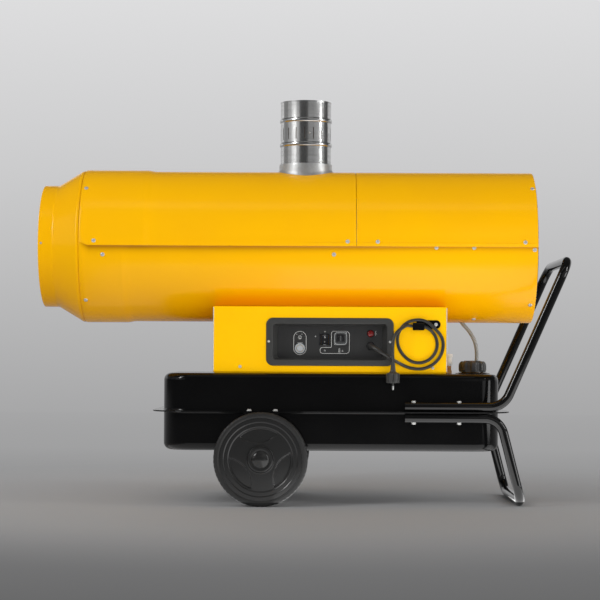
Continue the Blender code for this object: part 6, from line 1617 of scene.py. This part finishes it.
def dress_nodes():
    """CAD nodes whose shape is right take their own finishes."""
    finishes = {"exchanger_saddle": galvanised, "burner_nozzle": brass, "motor_bracket": galvanised,
                "fuel_pump": cast_alloy, "control_unit": switch_plastic,
                "ignition_transformer": cast_alloy, "axle": bright_steel,
                "axle_hanger_near": black_gloss, "axle_hanger_far": black_gloss}
    for name, finish_of in finishes.items():
        dress(name, finish_of)


# Floor, backdrop and lamps


def ramp(tree, value, low, high, levels):
    """A grey ColorRamp over a range in metres, of (place, sRGB level) stops."""
    node = tree.nodes.new("ShaderNodeValToRGB")
    elements = node.color_ramp.elements
    while len(elements) < len(levels):
        elements.new(0.5)
    for element, (place, level) in zip(elements, levels):
        tone = ((level / 255 + 0.055) / 1.055) ** 2.4
        element.position = (place - low) / (high - low)
        element.color = (tone, tone, tone * 1.01, 1)
    tree.links.new(add_range(tree, value, low, high), node.inputs[0])
    return node.outputs[0]


def make_stage():
    """A pale floor that takes the shadow near the heater and fades to a plain graded tone.

    Far from the heater, and on the backdrop, the tone is shown as it is to camera, glossy and
    transmission rays.
    """
    def sheet(name, corners, material):
        mesh = bpy.data.meshes.new(name)
        mesh.from_pydata(corners, [], [(0, 1, 2, 3)])
        mesh.materials.append(material)
        piece = bpy.data.objects.new(name, mesh)
        bpy.context.scene.collection.objects.link(piece)

    floor, tree = new_material("floor")
    shader = tree.nodes["Principled BSDF"]
    place = tree.nodes.new("ShaderNodeTexCoord").outputs["Object"]
    split = tree.nodes.new("ShaderNodeSeparateXYZ")
    tree.links.new(place, split.inputs[0])
    # The floor's tone grows paler away from the camera: a painted falloff of light.
    levels = ((-2.4, 105), (-0.7, 128), (0.8, 147), (3, 160), (9, 167))
    tone = ramp(tree, split.outputs["Y"], -3, 9, levels)
    paler = tree.nodes.new("ShaderNodeVectorMath")
    paler.operation = "SCALE"
    paler.inputs["Scale"].default_value = 1.55
    tree.links.new(tone, paler.inputs[0])
    tree.links.new(paler.outputs[0], shader.inputs["Base Color"])
    shader.inputs["Roughness"].default_value = 0.9
    shader.inputs["Specular IOR Level"].default_value = 0.1
    glow = tree.nodes.new("ShaderNodeEmission")
    tree.links.new(tone, glow.inputs["Color"])
    away = tree.nodes.new("ShaderNodeVectorMath")
    away.operation = "LENGTH"
    tree.links.new(place, away.inputs[0])
    fade = add_range(tree, away.outputs["Value"], 1.0, 2.0, smooth=True)
    rays = tree.nodes.new("ShaderNodeLightPath").outputs
    seen = add_math(tree, "ADD", rays["Is Camera Ray"], rays["Is Glossy Ray"])
    seen = add_math(tree, "ADD", seen, rays["Is Transmission Ray"], clamp=True)
    mix = tree.nodes.new("ShaderNodeMixShader")
    tree.links.new(add_math(tree, "MULTIPLY", fade, seen), mix.inputs[0])
    tree.links.new(shader.outputs[0], mix.inputs[1])
    tree.links.new(glow.outputs[0], mix.inputs[2])
    tree.links.new(mix.outputs[0], tree.nodes["Material Output"].inputs[0])
    side = stage_half_width
    sheet("studio_floor", [(-side, -side, 0), (side, -side, 0), (side, backdrop_y, 0),
                           (-side, backdrop_y, 0)], floor)

    wall, tree = new_material("backdrop")
    tree.nodes.remove(tree.nodes["Principled BSDF"])
    split = tree.nodes.new("ShaderNodeSeparateXYZ")
    tree.links.new(tree.nodes.new("ShaderNodeTexCoord").outputs["Object"], split.inputs[0])
    # The backdrop grows paler upwards: a painted falloff of light.
    levels = ((0, 167), (0.8, 185), (1.7, 203), (3, 222))
    glow = tree.nodes.new("ShaderNodeEmission")
    tree.links.new(ramp(tree, split.outputs["Z"], 0, 3, levels), glow.inputs["Color"])
    tree.links.new(glow.outputs[0], tree.nodes["Material Output"].inputs[0])
    sheet("studio_backdrop", [(-side, backdrop_y, 0), (side, backdrop_y, 0),
                              (side, backdrop_y, backdrop_top), (-side, backdrop_y, backdrop_top)],
          wall)


def add_lamp(name, place, target, size, radiance, glossy=True):
    """A rectangular soft lamp at a place, turned to a target; its power follows its radiance."""
    data = bpy.data.lights.new(name, "AREA")
    data.shape = "RECTANGLE"
    data.size, data.size_y = size
    data.energy = radiance * math.pi * size[0] * size[1]
    lamp = bpy.data.objects.new(name, data)
    away = np.array(place, float) - np.array(target, float)
    away /= np.linalg.norm(away)
    right = np.cross([0, 1, 0] if abs(away[2]) > 0.99 else [0, 0, 1], away)
    right /= np.linalg.norm(right)
    turn = np.eye(4)
    turn[:3, 0], turn[:3, 1], turn[:3, 2], turn[:3, 3] = right, np.cross(away, right), away, place
    lamp.matrix_world = Matrix(turn.tolist())
    lamp.visible_glossy = glossy
    lamp.visible_camera = False
    bpy.context.scene.collection.objects.link(lamp)


def around(azimuth, elevation, distance, height=0.6):
    """A place round the heater: azimuth 0 is the camera's side, and minus is to its left."""
    turn, rise = math.radians(azimuth), math.radians(elevation)
    return (distance * math.sin(turn) * math.cos(rise), -distance * math.cos(turn) * math.cos(rise),
            height + distance * math.sin(rise))


def make_light():
    """Plain soft studio light.

    A dim room, a wide front lamp that gives the tone, and a key lamp high on the left with a soft
    halo, which gives the glints. Pale cards stand round the heater and show in its paint, low
    lamps on the right light the tank's corner, and two cards on the floor brighten the barrel's
    underside.
    """
    world = bpy.data.worlds.new("studio")
    world.use_nodes = True
    bpy.context.scene.world = world
    tree = world.node_tree
    back = tree.nodes["Background"]
    back.inputs["Color"].default_value = (1, 1, 1, 1)
    rays = tree.nodes.new("ShaderNodeLightPath").outputs
    level = add_range(tree, rays["Is Glossy Ray"], 0, 1, 0.345, 0.07)
    tree.links.new(level, back.inputs["Strength"])
    middle = (0, 0, 0.65)
    add_lamp("front_lamp", (1.4, -5.5, 1.1), middle, (4.2, 1.8), 4.42, glossy=False)
    add_lamp("top_card", around(0, 62, 3.2), middle, (2.4, 0.6), 0.6)
    add_lamp("key_lamp", around(-52, 26, 4.0), middle, (0.32, 1.0), 22)
    add_lamp("key_halo", around(-52, 34, 4.1), middle, (0.9, 2.0), 4.5)
    add_lamp("right_lamp", around(72, 22, 4.2), middle, (0.4, 1.4), 13)
    card_distance = 4.3
    cards = (("left_card", -60, 5.2, 0.42), ("left_core", -55, 1.9, 0.5), ("right_near", 23, 2.0, 0.27),
             ("right_card", 64, 4.4, 0.30), ("left_back", -114, 3.2, 0.20))
    for name, azimuth, width, radiance in cards:
        place = around(azimuth, 0, card_distance, 2.0)
        add_lamp(name, place, (0, 0, 2.0), (width, 2.4), radiance)
    for name, azimuth, radiance in (("right_low", 76, 4.6), ("right_low_fade", 59, 1.1)):
        place = around(azimuth, 0, card_distance, 0.55)
        add_lamp(name, place, (0, 0, 0.5), (1.3, 1.0), radiance)
    add_lamp("back_lamp", (-1.5, 5.5, 2.6), middle, (4.0, 2.0), 1.6, glossy=False)
    add_lamp("floor_card", (0.50, -0.74, 0.012), (0.50, -0.74, 0.6), (2.4, 1.5), 0.66)
    add_lamp("floor_core", (0.72, -0.66, 0.013), (0.72, -0.66, 0.6), (1.6, 1.1), 1.05)


def make_heater():
    """All the pieces, from the cord to the fixings."""
    make_cord(make_plug())
    make_lower_casing()
    make_cover("cover_front", "casing_upper_front", casing_front, cover_joint)
    make_cover("cover_rear", "casing_upper_rear", cover_joint + 0.0012, casing_rear)
    make_cone()
    make_inner_drum()
    make_flue()
    make_flue_base()
    make_fan()
    make_motor()
    make_guard()
    make_box()
    make_panel()
    make_reset()
    make_switch()
    make_socket()
    make_lamp_and_gland()
    make_panel_marks()
    make_strap()
    tank_half("tank_top_pan", "tank_upper", 1, tank_top)
    tank_half("tank_bottom_pan", "tank_lower", -1, tank_bottom)
    make_filler()
    make_fuel_line()
    make_wheel("near", -1)
    make_wheel("far", 1)
    make_tubes()
    make_fixings()
    dress_nodes()


set_camera()
make_heater()
make_stage()
make_light()
